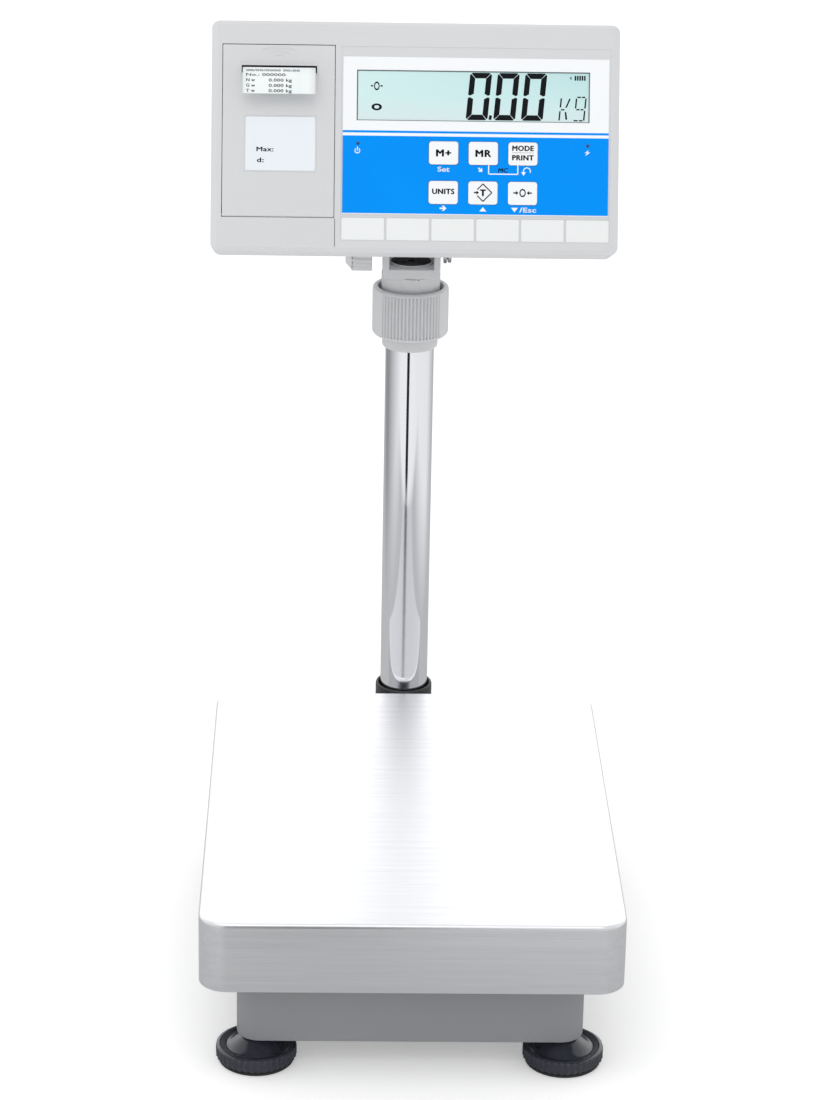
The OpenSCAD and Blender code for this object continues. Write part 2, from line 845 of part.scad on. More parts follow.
module paper_slip() {
    top = platen_v + platen_r + 0.2;
    bend_d = -2;
    color("#ffffff") on_face() {
        block([paper_x - paper_w / 2, bend_d, top], [paper_x + paper_w / 2, platen_d, top + paper_t]);
        translate([paper_x - paper_w / 2, bend_d, top - paper_bend]) rotate([90, 0, 90])
            linear_extrude(paper_w) difference() {
                circle(paper_bend + paper_t);
                circle(paper_bend);
                translate([-20, -40]) square([40, 40]);
                translate([0, -20]) square([40, 40]);
            }
        block([paper_x - paper_w / 2, bend_d - paper_bend - paper_t, paper_end],
              [paper_x + paper_w / 2, bend_d - paper_bend, top - paper_bend]);
    }
}

base_housing();
cross_member();
corner_plates();
load_cell();
lower_spacer();
base_bolts();
overload_stops();
spirit_level();
pillar_bracket();
column_socket();
column_bush();
column();
load_cell_cable();
upper_spacer();
platform_frame();
platform_bolts();
pan_bumpers();
pan();
foot_sole_front_left();
foot_sole_front_right();
foot_sole_back_left();
foot_sole_back_right();
foot_front_left();
foot_front_right();
foot_back_left();
foot_back_right();
swivel_head();
cable_grommet();
clamp_ferrule();
locking_nut();
tilt_bracket();
indicator_screws();
tilt_bolt();
tilt_washer();
tilt_knob();
rear_cover();
front_bezel();
overlay();
display_window();
display_module();
key_board();
main_board();
battery_pack();
power_inlet();
serial_port();
power_switch();
key_1();
key_2();
key_3();
key_4();
key_5();
key_6();
printer_frame();
print_head();
printer_motor();
motor_pinion();
platen_roller();
paper_roll();
paper_door();
paper_slip();
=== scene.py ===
import json
import math

import bmesh
import bpy
from bpy.props import FloatProperty, FloatVectorProperty, IntProperty, PointerProperty
from mathutils import Matrix, Vector


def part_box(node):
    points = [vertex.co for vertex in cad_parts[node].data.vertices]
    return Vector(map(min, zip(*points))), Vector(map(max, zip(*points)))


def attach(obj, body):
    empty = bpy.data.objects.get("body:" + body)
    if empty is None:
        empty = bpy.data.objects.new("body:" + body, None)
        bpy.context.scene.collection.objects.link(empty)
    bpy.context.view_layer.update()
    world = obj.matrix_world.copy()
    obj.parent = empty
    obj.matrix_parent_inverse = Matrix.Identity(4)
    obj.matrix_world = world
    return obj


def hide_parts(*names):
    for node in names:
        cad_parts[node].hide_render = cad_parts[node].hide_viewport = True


bl_info = {
    "name": "Bench scale",
    "version": (1, 0, 0),
    "blender": (4, 5, 0),
    "location": "View3D > Sidebar > Bench scale",
    "description": "Gives a bench scale with a printing indicator its finished pieces and materials",
    "category": "Object",
}

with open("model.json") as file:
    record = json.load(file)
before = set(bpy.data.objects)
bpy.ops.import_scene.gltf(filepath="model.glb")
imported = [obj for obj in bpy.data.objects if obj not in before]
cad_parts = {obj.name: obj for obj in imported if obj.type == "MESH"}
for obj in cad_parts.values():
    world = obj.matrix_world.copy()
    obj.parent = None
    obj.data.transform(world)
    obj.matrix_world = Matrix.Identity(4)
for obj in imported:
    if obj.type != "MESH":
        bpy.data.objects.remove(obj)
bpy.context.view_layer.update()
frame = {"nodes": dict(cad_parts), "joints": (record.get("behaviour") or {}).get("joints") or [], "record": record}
nodes = frame["nodes"]
record = frame["record"]
SLOT_OF = {part["node"]: part["material_slot"] for part in record["subparts"]}
BODY_OF = {node: body for body, members in record["behaviour"]["bodies"].items() for node in members}

MM = 0.001
GROUND = Matrix.Scale(MM, 4)
INK_LIFT = 0.03  # how far printing stands off its surface, in mm
# Text lies flat with its top away from the reader; on the face its top points up and it faces outwards
READABLE = Matrix(((1, 0, 0, 0), (0, 0, -1, 0), (0, 1, 0, 0), (0, 0, 0, 1)))
OUTWARDS = Matrix.Rotation(math.pi / 2, 4, "X")  # turns a lathe's upright axis to stand out from the face


def face_frame():
    """Millimetres across the indicator's face, inwards from it and up it, as a place in the part's frame"""
    key = next(joint for joint in frame["joints"] if joint["name"] == "key_1_press")
    inward = Vector(key["axis"]).normalized()
    across = Vector((1, 0, 0))
    up = across.cross(inward)
    low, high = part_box("overlay")
    centre = (low + high) / 2 - inward * 0.3 * MM
    turn = Matrix((across, inward, up)).transposed().to_4x4()
    return Matrix.Translation((0, centre.y, centre.z)) @ turn @ GROUND, turn.to_euler()


def extent(node):
    """A CAD node's lowest and highest corners, in millimetres"""
    low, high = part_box(node)
    return low / MM, high / MM


def half_width(node):
    """Half of a CAD node's width, in millimetres: the radius of a round upright one"""
    low, high = extent(node)
    return (high.x - low.x) / 2


def upright(low, high):
    """The place of an upright axis through the middle of a box, with heights from the bench"""
    return Matrix.Translation(((low.x + high.x) / 2 * MM, (low.y + high.y) / 2 * MM, 0)) @ GROUND


def extent_on_face(node):
    """A CAD node's lowest and highest corners, and all its points, in the face's millimetres"""
    turned = FACE.inverted()
    points = [turned @ vert.co for vert in nodes[node].data.vertices]
    low = Vector([min(point[i] for point in points) for i in range(3)])
    high = Vector([max(point[i] for point in points) for i in range(3)])
    return low, high, points


FACE, FACE_TURN = face_frame()
low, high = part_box("column")
COLUMN_Y = (low.y + high.y) / 2 / MM
COLUMN = Matrix.Translation((0, COLUMN_Y * MM, 0)) @ GROUND


def linear(red, green, blue):
    """A colour given as it looks on a screen, 0 to 255, in the linear values that shaders use"""
    def one(value):
        value /= 255
        return value / 12.92 if value <= 0.04045 else ((value + 0.055) / 1.055) ** 2.4
    return (one(red), one(green), one(blue), 1)


def colour_setting(name, description, *shade):
    """A colour that a user can change"""
    return FloatVectorProperty(name=name, description=description, subtype="COLOR", size=4, min=0, max=1,
                               default=linear(*shade))


def length_setting(name, description, default, low=0.0, high=0.01):
    """A length that a user can change, in metres"""
    return FloatProperty(name=name, description=description, default=default, min=low, max=high,
                         precision=4, unit="LENGTH", subtype="DISTANCE")


class BENCHSCALE_colours(bpy.types.PropertyGroup):
    housing: colour_setting("Housing", "Moulded plastic of the indicator housing", 216, 217, 219)
    collar: colour_setting("Collar", "Plastic of the locking nut, the neck and the knob", 205, 206, 208)
    film: colour_setting("Film", "White ground of the printed overlay", 248, 250, 252)
    blue: colour_setting("Blue", "Printed field round the keys", 0, 151, 253)
    ink: colour_setting("Ink", "Black printing and display segments", 16, 17, 22)
    display: colour_setting("Display", "Unlit ground of the display", 203, 237, 237)
    base: colour_setting("Base", "Powder coat of the base", 141, 143, 146)
    foot: colour_setting("Feet", "Glossy plastic of the levelling feet", 42, 44, 54)


class BENCHSCALE_sizes(bpy.types.PropertyGroup):
    pan_bend: length_setting("Pan bend", "Outer radius of the pan's folded edge", 0.003, 0.0015, 0.006)
    pan_sheet: length_setting("Pan sheet", "Thickness of the pan's sheet", 0.0012, 0.0008, 0.002)
    housing_edge: length_setting("Housing edge", "Radius on the housing's moulded edges", 0.0007, 0, 0.002)
    recess_edge: length_setting("Recess edge", "Radius on the edges of the front's shallow recesses",
                                0.0002, 0, 0.0005)
    metal_edge: length_setting("Metal edge", "Radius on cut and pressed metal edges", 0.0004, 0, 0.001)
    rib_depth: length_setting("Nut rib depth", "Depth of the grooves between the nut's ribs",
                              0.0015, 0, 0.002)
    nut_ribs: IntProperty(name="Nut ribs", description="Ribs that a full turn of the nut would have",
                          default=64, min=32, max=96)
    foot_ribs: IntProperty(name="Foot ribs", description="Ribs round each foot", default=38, min=30, max=44)


# ---- Meshes ----


def joined(target, source, place=None):
    """Adds one bmesh to another, moved to its place"""
    if place is not None:
        bmesh.ops.transform(source, matrix=place, verts=source.verts)
    scratch = bpy.data.meshes.new("scratch")
    source.to_mesh(scratch)
    source.free()
    target.from_mesh(scratch)
    bpy.data.meshes.remove(scratch)
    return target


def box(low, high, corner=0.0, edge=0.0, axis=1, corner_steps=6, edge_steps=3):
    """A block between two corners, its corners rounded as seen along an axis, and its rim at the low side"""
    bm = bmesh.new()
    bmesh.ops.create_cube(bm, size=1)
    bmesh.ops.scale(bm, vec=[b - a for a, b in zip(low, high)], verts=bm.verts)
    bmesh.ops.translate(bm, vec=[(a + b) / 2 for a, b in zip(low, high)], verts=bm.verts)
    if corner:
        upright = [e for e in bm.edges if abs((e.verts[0].co - e.verts[1].co).normalized()[axis]) > 0.9]
        bmesh.ops.bevel(bm, geom=upright, offset=corner, segments=corner_steps, profile=0.5,
                        affect="EDGES", material=-1)
    if edge:
        rim = [e for e in bm.edges if all(abs(v.co[axis] - low[axis]) < 1e-4 for v in e.verts)]
        bmesh.ops.bevel(bm, geom=rim, offset=edge, segments=edge_steps, profile=0.5,
                        affect="EDGES", material=-1)
    return bm


def lathe(profile, steps=96, closed=True):
    """A profile of radius and height turned once round the upright axis"""
    bm = bmesh.new()
    points = [bm.verts.new((radius, 0, height)) for radius, height in profile]
    edges = [bm.edges.new(pair) for pair in zip(points, points[1:])]
    if closed:
        edges.append(bm.edges.new((points[-1], points[0])))
    bmesh.ops.spin(bm, geom=points + edges, cent=(0, 0, 0), axis=(0, 0, 1), angle=math.tau, steps=steps,
                   use_merge=True, use_duplicate=False)
    bmesh.ops.remove_doubles(bm, verts=bm.verts, dist=1e-5)
    bmesh.ops.recalc_face_normals(bm, faces=bm.faces)
    return bm


def raised(bm, thickness):
    """Draws flat faces out from the indicator's face"""
    drawn = bmesh.ops.extrude_face_region(bm, geom=list(bm.faces))
    moved = [g for g in drawn["geom"] if isinstance(g, bmesh.types.BMVert)]
    bmesh.ops.translate(bm, vec=(0, -thickness, 0), verts=moved)


def rectangle(left, bottom, right, top):
    """The corners of a rectangle, in order"""
    return [(left, bottom), (right, bottom), (right, top), (left, top)]


def outline(points, thickness, lift=0.0):
    """A flat plate of the given outline, in the face's millimetres, standing out from the depth given"""
    bm = bmesh.new()
    bm.faces.new([bm.verts.new((x, lift, v)) for x, v in points])
    raised(bm, thickness)
    bmesh.ops.recalc_face_normals(bm, faces=bm.faces)
    return bm


def inked(target, points, at):
    """Adds a flat printed shape to others"""
    return joined(target, outline(points, INK_LIFT, at))


def hoop(centre, outer, inner, thickness, lift, squeeze=1.0, steps=48, arc=math.tau, start=0.0):
    """A flat ring, or part of one, on the face"""
    bm = bmesh.new()
    points = [bm.verts.new((radius, 0, 0)) for radius in (inner, outer)]
    edge = bm.edges.new(points)
    whole = arc >= math.tau - 1e-6
    bmesh.ops.spin(bm, geom=points + [edge], cent=(0, 0, 0), axis=(0, 1, 0), angle=arc, steps=steps,
                   use_merge=whole, use_duplicate=False)
    bmesh.ops.rotate(bm, cent=(0, 0, 0), matrix=Matrix.Rotation(start, 3, "Y"), verts=bm.verts)
    raised(bm, thickness)
    bmesh.ops.scale(bm, vec=(squeeze, 1, 1), verts=bm.verts)
    bmesh.ops.translate(bm, vec=(centre[0], lift, centre[1]), verts=bm.verts)
    bmesh.ops.recalc_face_normals(bm, faces=bm.faces)
    return bm


def frame_ring(low, high, width, thickness, lift, bottom=None):
    """A thin rectangular line round an opening in the face"""
    bm = bmesh.new()
    (left, base), (right, top) = low, high
    for bar in ((left, base, left + width, top), (right - width, base, right, top),
                (left + width, top - width, right - width, top),
                (left + width, base, right - width, base + (bottom or width))):
        joined(bm, outline(rectangle(*bar), thickness, lift))
    return bm


def lettering(words, height, x, v, lift, width=None, bold=0.0, slant=0.0, thickness=INK_LIFT):
    """Plain words with capitals of that height, centred on a point of the face, made a mesh

    Bold words are the same ones printed again a little to each side.
    """
    curve = bpy.data.curves.new("lettering", "FONT")
    curve.body = words
    curve.size = 10
    curve.space_character = 1 + bold / 3
    curve.extrude = 0.5
    curve.resolution_u = 3
    curve.shear = slant
    holder = bpy.data.objects.new("lettering", curve)
    bpy.context.scene.collection.objects.link(holder)
    bpy.context.view_layer.update()
    mesh = bpy.data.meshes.new_from_object(holder.evaluated_get(bpy.context.evaluated_depsgraph_get()))
    bm = bmesh.new()
    bm.from_mesh(mesh)
    bpy.data.objects.remove(holder)
    bpy.data.curves.remove(curve)
    bpy.data.meshes.remove(mesh)
    xs = [p.co.x for p in bm.verts]
    middle = (min(xs) + max(xs)) / 2
    tall = 7.2  # the height of the font's capitals at size 10
    wide = (width or (max(xs) - min(xs)) * height / tall) / (max(xs) - min(xs))
    bmesh.ops.translate(bm, vec=(-middle, -tall / 2, -0.5), verts=bm.verts)
    bmesh.ops.scale(bm, vec=(wide, height / tall, thickness), verts=bm.verts)
    bmesh.ops.transform(bm, matrix=READABLE, verts=bm.verts)
    bmesh.ops.translate(bm, vec=(x, lift - thickness, v), verts=bm.verts)
    plain = bm.copy()
    for step, (right, up) in enumerate(((-1, 0), (1, 0), (0, -0.6), (0, 0.6)) if bold else ()):
        joined(bm, plain.copy(), Matrix.Translation((right * bold, 0.001 * step, up * bold)))
    plain.free()
    return bm


def fluted(bm, ribs, depth, low, high, inside, sector=None, sharpness=0.7):
    """Draws in the outside of a turned piece between its ribs, all round or only at its front and back"""
    for vert in bm.verts:
        x, y, z = vert.co
        radius = math.hypot(x, y)
        if not (low < z < high) or radius < inside:
            continue
        angle = math.atan2(y, x)
        groove = depth * (0.5 - 0.5 * math.cos(ribs * angle)) ** sharpness
        if sector is not None:
            away = abs(abs(math.degrees(angle)) - 90)
            groove *= min(1, max(0, (sector - away) / 2))
        vert.co.x *= (radius - groove) / radius
        vert.co.y *= (radius - groove) / radius
    return bm


def placed(name, bm):
    """An object at the origin with this bmesh as its mesh"""
    mesh = bpy.data.meshes.new(name)
    bm.to_mesh(mesh)
    bm.free()
    made = bpy.data.objects.new(name, mesh)
    bpy.context.scene.collection.objects.link(made)
    return made


def rounded(made, name, width, steps, angle):
    """Rounds the edges that are sharper than an angle, in degrees"""
    rounding = made.modifiers.new(name, "BEVEL")
    rounding.width = width
    rounding.segments = steps
    rounding.profile = 0.5
    rounding.limit_method = "ANGLE"
    rounding.angle_limit = math.radians(angle)
    rounding.use_clamp_overlap = False
    rounding.harden_normals = False


def evened(made):
    """Keeps large faces flat in their shading beside rounded edges"""
    made.modifiers.new("even normals", "WEIGHTED_NORMAL").keep_sharp = True


def piece(name, bm, body, finish, place=FACE, stands_for=(), edge=0.0, steps=2, angle=32.0, even=True):
    """Makes a bmesh a finished piece: in its place, smooth, with its edges rounded, on its body"""
    bmesh.ops.transform(bm, matrix=place, verts=bm.verts)
    made = placed(name, bm)
    made.data.shade_smooth()
    made.data.set_sharp_from_angle(angle=math.radians(angle))
    finishes = [finish] if isinstance(finish, str) else list(finish)
    for slot in finishes:
        made.data.materials.append(material(slot))
    if edge:
        rounded(made, "rounded edges", edge, steps, angle)
    if even:
        evened(made)
    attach(made, body)
    if stands_for:
        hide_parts(*stands_for)
    return made


def softened(node, edge, steps=2, angle=32.0, flat=0.6):
    """A CAD node's shape with its edges rounded, standing for the node; faces flat to an angle are joined"""
    bm = bmesh.new()
    bm.from_mesh(nodes[node].data)
    bmesh.ops.remove_doubles(bm, verts=bm.verts, dist=2e-6)
    if flat:
        bmesh.ops.dissolve_limit(bm, angle_limit=math.radians(flat), use_dissolve_boundaries=False,
                                 verts=bm.verts, edges=bm.edges)
    return piece(node + "_rounded", bm, BODY_OF[node], SLOT_OF[node], Matrix.Identity(4), (node,), edge,
                 steps, angle)


def kept(*names):
    """Gives CAD nodes whose shape is right their materials"""
    for name in names:
        slots = nodes[name].data.materials
        if not len(slots):
            slots.append(material(SLOT_OF[name]))
        for place in nodes[name].material_slots:
            place.material = material(SLOT_OF[name])


# ---- Materials ----

GROUPS = {}


def put(tree, kind, inputs=None, **settings):
    """A node with its settings and inputs; an input that is a socket is linked"""
    made = tree.nodes.new(kind)
    for name, value in settings.items():
        setattr(made, name, value)
    for name, value in (inputs or {}).items():
        if isinstance(value, bpy.types.NodeSocket):
            tree.links.new(value, made.inputs[name])
        else:
            made.inputs[name].default_value = value
    return made


def new_group(name, inputs, outputs):
    """An empty node group with its sockets"""
    tree = bpy.data.node_groups.new(name, "ShaderNodeTree")
    for label, kind, value in inputs:
        socket = tree.interface.new_socket(name=label, in_out="INPUT", socket_type="NodeSocket" + kind)
        if value is not None:
            socket.default_value = value
    for label, kind in outputs:
        tree.interface.new_socket(name=label, in_out="OUTPUT", socket_type="NodeSocket" + kind)
    return tree, tree.nodes.new("NodeGroupInput").outputs, tree.nodes.new("NodeGroupOutput")


def mixed(tree, factor, first, second):
    """A colour between two others"""
    return put(tree, "ShaderNodeMix", {0: factor, 6: first, 7: second}, data_type="RGBA").outputs[2]


def spread(tree, value, low, high, to_low=0.0, to_high=1.0):
    """A value's way from low to high, clamped at both ends"""
    return put(tree, "ShaderNodeMapRange", {"Value": value, "From Min": low, "From Max": high,
                                            "To Min": to_low, "To Max": to_high}).outputs["Result"]


def maths(tree, operation, first, second):
    """One sum, product, difference or comparison"""
    return put(tree, "ShaderNodeMath", {0: first, 1: second}, operation=operation).outputs[0]


def grain_group():
    """Slow patches of a second shade, a fine grain and a roughness that follows both"""
    tree, given, result = new_group("Surface grain", [
        ("Vector", "Vector", None), ("Colour", "Color", None), ("Second Colour", "Color", None),
        ("Patch Scale", "Float", 8.0), ("Patch Amount", "Float", 0.5), ("Grain Scale", "Float", 900.0),
        ("Roughness", "Float", 0.5), ("Roughness Spread", "Float", 0.1)],
        [("Colour", "Color"), ("Roughness", "Float"), ("Height", "Float")])
    patches = put(tree, "ShaderNodeTexNoise", {"Vector": given["Vector"], "Scale": given["Patch Scale"],
                                               "Detail": 3.0}).outputs[0]
    grain = put(tree, "ShaderNodeTexNoise", {"Vector": given["Vector"], "Scale": given["Grain Scale"],
                                             "Detail": 2.0, "Roughness": 0.6}).outputs[0]
    patch = spread(tree, patches, 0.35, 0.65)
    colour = mixed(tree, maths(tree, "MULTIPLY", patch, given["Patch Amount"]), given["Colour"],
                   given["Second Colour"])
    uneven = maths(tree, "ADD", maths(tree, "MULTIPLY", patch, 0.6), maths(tree, "MULTIPLY", grain, 0.4))
    swing = maths(tree, "MULTIPLY", maths(tree, "SUBTRACT", uneven, 0.5), given["Roughness Spread"])
    rough = maths(tree, "ADD", given["Roughness"], swing)
    for label, value in (("Colour", colour), ("Roughness", rough), ("Height", grain)):
        tree.links.new(value, result.inputs[label])
    return tree


def brushed_group():
    """Long streaks along one direction, stretched by the vector given"""
    tree, given, result = new_group("Brushed streaks", [
        ("Vector", "Vector", None), ("Stretch", "Vector", (20, 900, 900)), ("Colour", "Color", None),
        ("Streak Colour", "Color", None), ("Amount", "Float", 0.5), ("Roughness", "Float", 0.3),
        ("Roughness Spread", "Float", 0.1)],
        [("Colour", "Color"), ("Roughness", "Float"), ("Height", "Float")])
    drawn = put(tree, "ShaderNodeVectorMath", {0: given["Vector"], 1: given["Stretch"]},
                operation="MULTIPLY").outputs[0]
    fine = put(tree, "ShaderNodeTexNoise", {"Vector": drawn, "Scale": 1.0, "Detail": 4.0,
                                            "Roughness": 0.65}).outputs[0]
    broad = put(tree, "ShaderNodeTexNoise", {"Vector": drawn, "Scale": 0.13, "Detail": 2.0}).outputs[0]
    both = maths(tree, "ADD", maths(tree, "MULTIPLY", fine, 0.6), maths(tree, "MULTIPLY", broad, 0.4))
    streak = spread(tree, both, 0.38, 0.62)
    colour = mixed(tree, maths(tree, "MULTIPLY", streak, given["Amount"]), given["Colour"],
                   given["Streak Colour"])
    swing = maths(tree, "MULTIPLY", maths(tree, "SUBTRACT", streak, 0.5), given["Roughness Spread"])
    rough = maths(tree, "ADD", given["Roughness"], swing)
    for label, value in (("Colour", colour), ("Roughness", rough), ("Height", fine)):
        tree.links.new(value, result.inputs[label])
    return tree


def speckle_group():
    """Small scattered flecks, as in a powder coat or on a board"""
    tree, given, result = new_group("Speckle", [
        ("Vector", "Vector", None), ("Scale", "Float", 600.0), ("Size", "Float", 0.25)], [("Mask", "Float")])
    cells = put(tree, "ShaderNodeTexVoronoi", {"Vector": given["Vector"], "Scale": given["Scale"]}).outputs
    near = maths(tree, "SUBTRACT", given["Size"], cells["Distance"])
    tree.links.new(spread(tree, near, 0.0, 0.08), result.inputs["Mask"])
    return tree


def grouped(tree, name, inputs):
    """A shared effect, built the first time that it is used"""
    makers = {"Surface grain": grain_group, "Brushed streaks": brushed_group, "Speckle": speckle_group}
    if name not in GROUPS:
        GROUPS[name] = makers[name]()
    made = tree.nodes.new("ShaderNodeGroup")
    made.node_tree = GROUPS[name]
    for label, value in inputs.items():
        if isinstance(value, bpy.types.NodeSocket):
            tree.links.new(value, made.inputs[label])
        else:
            made.inputs[label].default_value = value
    return made.outputs


def started(name, on_face=False, **shader_values):
    """A new material, its shader with constants on the shader's own sockets, and its coordinates"""
    made = bpy.data.materials.new(name)
    made.use_nodes = True
    tree = made.node_tree
    tree.nodes.clear()
    shader = put(tree, "ShaderNodeBsdfPrincipled", {key.replace("_", " "): value for key, value in
                                                    shader_values.items()})
    target = tree.nodes.new("ShaderNodeOutputMaterial")
    tree.links.new(shader.outputs[0], target.inputs["Surface"])
    where = put(tree, "ShaderNodeTexCoord").outputs["Object"]
    mapping = put(tree, "ShaderNodeMapping", {"Vector": where}, vector_type="TEXTURE")
    if on_face:
        mapping.inputs["Location"].default_value = FACE.translation
        mapping.inputs["Rotation"].default_value = FACE_TURN
    return made, tree, shader, mapping.outputs[0]


def bumped(tree, shader, height, strength, distance):
    """Feeds a height to the shader as a bump"""
    bump = put(tree, "ShaderNodeBump", {"Height": height, "Strength": strength, "Distance": distance})
    tree.links.new(bump.outputs[0], shader.inputs["Normal"])


def coated(tree, shader, out, bump=None):
    """Feeds a group's colour and roughness, and its height where a bump is given, to the shader"""
    tree.links.new(out["Colour"], shader.inputs["Base Color"])
    tree.links.new(out["Roughness"], shader.inputs["Roughness"])
    if bump:
        bumped(tree, shader, out["Height"], *bump)


def tinted(colour, factor):
    """A colour made lighter or darker"""
    return tuple(min(1, part * factor) for part in colour[:3]) + (1,)


def moulded(name, colour, second=0.94, patch=(9.0, 0.6), grain=(1100.0, 0.35, 0.00006), rough=(0.5, 0.12),
            flecks=None, **shader_values):
    """Plastic, rubber, paint or film: two close shades, a fine grain, and flecks where it has them"""
    made, tree, shader, where = started(name, **shader_values)
    other = tinted(colour, second) if isinstance(second, float) else second
    out = grouped(tree, "Surface grain", {
        "Vector": where, "Colour": colour, "Second Colour": other, "Patch Scale": patch[0],
        "Patch Amount": patch[1], "Grain Scale": grain[0], "Roughness": rough[0],
        "Roughness Spread": rough[1]})
    shade = out["Colour"]
    if flecks:
        mask = grouped(tree, "Speckle", {"Vector": where, "Scale": flecks[0], "Size": flecks[1]})["Mask"]
        shade = mixed(tree, maths(tree, "MULTIPLY", mask, flecks[3]), shade, flecks[2])
    tree.links.new(shade, shader.inputs["Base Color"])
    tree.links.new(out["Roughness"], shader.inputs["Roughness"])
    bumped(tree, shader, out["Height"], grain[1], grain[2])
    return made


def brushed(name, colour, streak, stretch, amount=0.5, rough=(0.3, 0.12), depth=(0.25, 0.00004),
            **shader_values):
    """Metal with streaks along one direction"""
    made, tree, shader, where = started(name, Metallic=1.0, **shader_values)
    coated(tree, shader, grouped(tree, "Brushed streaks", {
        "Vector": where, "Stretch": stretch, "Colour": colour, "Streak Colour": streak, "Amount": amount,
        "Roughness": rough[0], "Roughness Spread": rough[1]}), depth)
    return made


def stainless():
    """Sheet brushed from side to side; the strokes turn down the side skirts"""
    made, tree, shader, where = started("stainless", Metallic=1.0)
    shades = {"Vector": where, "Colour": linear(238, 239, 241), "Streak Colour": linear(222, 223, 226),
              "Amount": 0.7, "Roughness": 0.36, "Roughness Spread": 0.1}
    across = grouped(tree, "Brushed streaks", {**shades, "Stretch": (14, 1500, 1500)})
    down = grouped(tree, "Brushed streaks", {**shades, "Stretch": (1500, 1500, 14)})
    low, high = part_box("pan")
    x = put(tree, "ShaderNodeSeparateXYZ", {0: where}).outputs[0]
    side = maths(tree, "GREATER_THAN", maths(tree, "ABSOLUTE", x, 0.0), high.x - 0.0022)
    tree.links.new(mixed(tree, side, across["Colour"], down["Colour"]), shader.inputs["Base Color"])
    rough = put(tree, "ShaderNodeMix", {0: side, 2: across["Roughness"], 3: down["Roughness"]}).outputs[0]
    tree.links.new(rough, shader.inputs["Roughness"])
    height = put(tree, "ShaderNodeMix", {0: side, 2: across["Height"], 3: down["Height"]}).outputs[0]
    bumped(tree, shader, height, 0.3, 0.00005)
    return made


def display_glass():
    """The display's pale ground under a clear sheet, with painted light that makes it greener at the left, painted
    shade that makes it greyer at the top right, and a painted paler band at the bottom
    """
    made, tree, shader, where = started("display_glass", on_face=True, Specular_IOR_Level=0.3)
    ground = settings().colours.display
    parts = put(tree, "ShaderNodeSeparateXYZ", {0: where}).outputs
    across = spread(tree, parts[0], -0.05, 0.13)
    up = spread(tree, parts[2], 0.012, 0.049)
    # Painted light and shade: lighter and greener at the left, greyer at the top right, paler along the bottom
    lit = mixed(tree, across, linear(212, 240, 239), tuple(ground))
    painted_shade_top_right = mixed(tree, maths(tree, "MULTIPLY", maths(tree, "MULTIPLY", across, up), 0.5), lit,
                  linear(176, 212, 212))
    painted_pale_bottom = mixed(tree, spread(tree, parts[2], 0.011, 0.03, 0.7, 0.0), painted_shade_top_right, linear(222, 232, 234))
    coated(tree, shader, grouped(tree, "Surface grain", {
        "Vector": where, "Colour": painted_pale_bottom, "Second Colour": linear(210, 236, 238), "Patch Scale": 22.0,
        "Patch Amount": 0.35, "Grain Scale": 1500.0, "Roughness": 0.22, "Roughness Spread": 0.06}))
    return made


def thermal_paper():
    """Coated paper with a very fine tooth"""
    made, tree, shader, where = started("thermal_paper", Sheen_Weight=0.1)
    coated(tree, shader, grouped(tree, "Surface grain", {
        "Vector": where, "Colour": linear(247, 250, 250), "Second Colour": linear(232, 244, 243),
        "Patch Scale": 60.0, "Patch Amount": 0.5, "Grain Scale": 2600.0, "Roughness": 0.55,
        "Roughness Spread": 0.1}), (0.2, 0.00003))
    return made


def circuit_board():
    """Green lacquer over a net of copper tracks"""
    made, tree, shader, where = started("circuit_board", on_face=True, Coat_Weight=0.4, Coat_Roughness=0.15)
    turned = put(tree, "ShaderNodeMapping", {"Vector": where, "Rotation": (math.pi / 2, 0, 0)}).outputs[0]
    tracks = put(tree, "ShaderNodeTexBrick", {
        "Vector": turned, "Color1": linear(22, 92, 60), "Color2": linear(28, 104, 66),
        "Mortar": linear(62, 150, 96), "Scale": 90.0, "Mortar Size": 0.035}).outputs[0]
    holes = grouped(tree, "Speckle", {"Vector": where, "Scale": 240.0, "Size": 0.2})["Mask"]
    coated(tree, shader, grouped(tree, "Surface grain", {
        "Vector": where, "Colour": mixed(tree, holes, tracks, linear(196, 190, 150)),
        "Second Colour": linear(24, 84, 56), "Patch Scale": 14.0, "Patch Amount": 0.3, "Grain Scale": 900.0,
        "Roughness": 0.35, "Roughness Spread": 0.1}))
    return made


def level_vial():
    """Clear green fluid with a pale bubble under the middle of the lid"""
    made, tree, shader, where = started("level_vial", Coat_Weight=0.8, Coat_Roughness=0.05)
    low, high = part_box("spirit_level")
    centre = ((low.x + high.x) / 2, (low.y + high.y) / 2, high.z)
    away = put(tree, "ShaderNodeVectorMath", {0: where, 1: centre}, operation="DISTANCE").outputs["Value"]
    bubble = spread(tree, away, 0.0024, 0.0028, 1.0, 0.0)
    ring = maths(tree, "MULTIPLY", spread(tree, away, 0.0036, 0.0038),
                 spread(tree, away, 0.0040, 0.0042, 1.0, 0.0))
    fluid = mixed(tree, bubble, linear(150, 196, 60), linear(228, 240, 190))
    coated(tree, shader, grouped(tree, "Surface grain", {
        "Vector": where, "Colour": mixed(tree, ring, fluid, linear(30, 34, 30)),
        "Second Colour": linear(132, 184, 52), "Patch Scale": 160.0, "Patch Amount": 0.15,
        "Grain Scale": 900.0, "Roughness": 0.12, "Roughness Spread": 0.04}))
    return made


def settings():
    """The values in the sidebar"""
    return bpy.context.scene.bench_scale


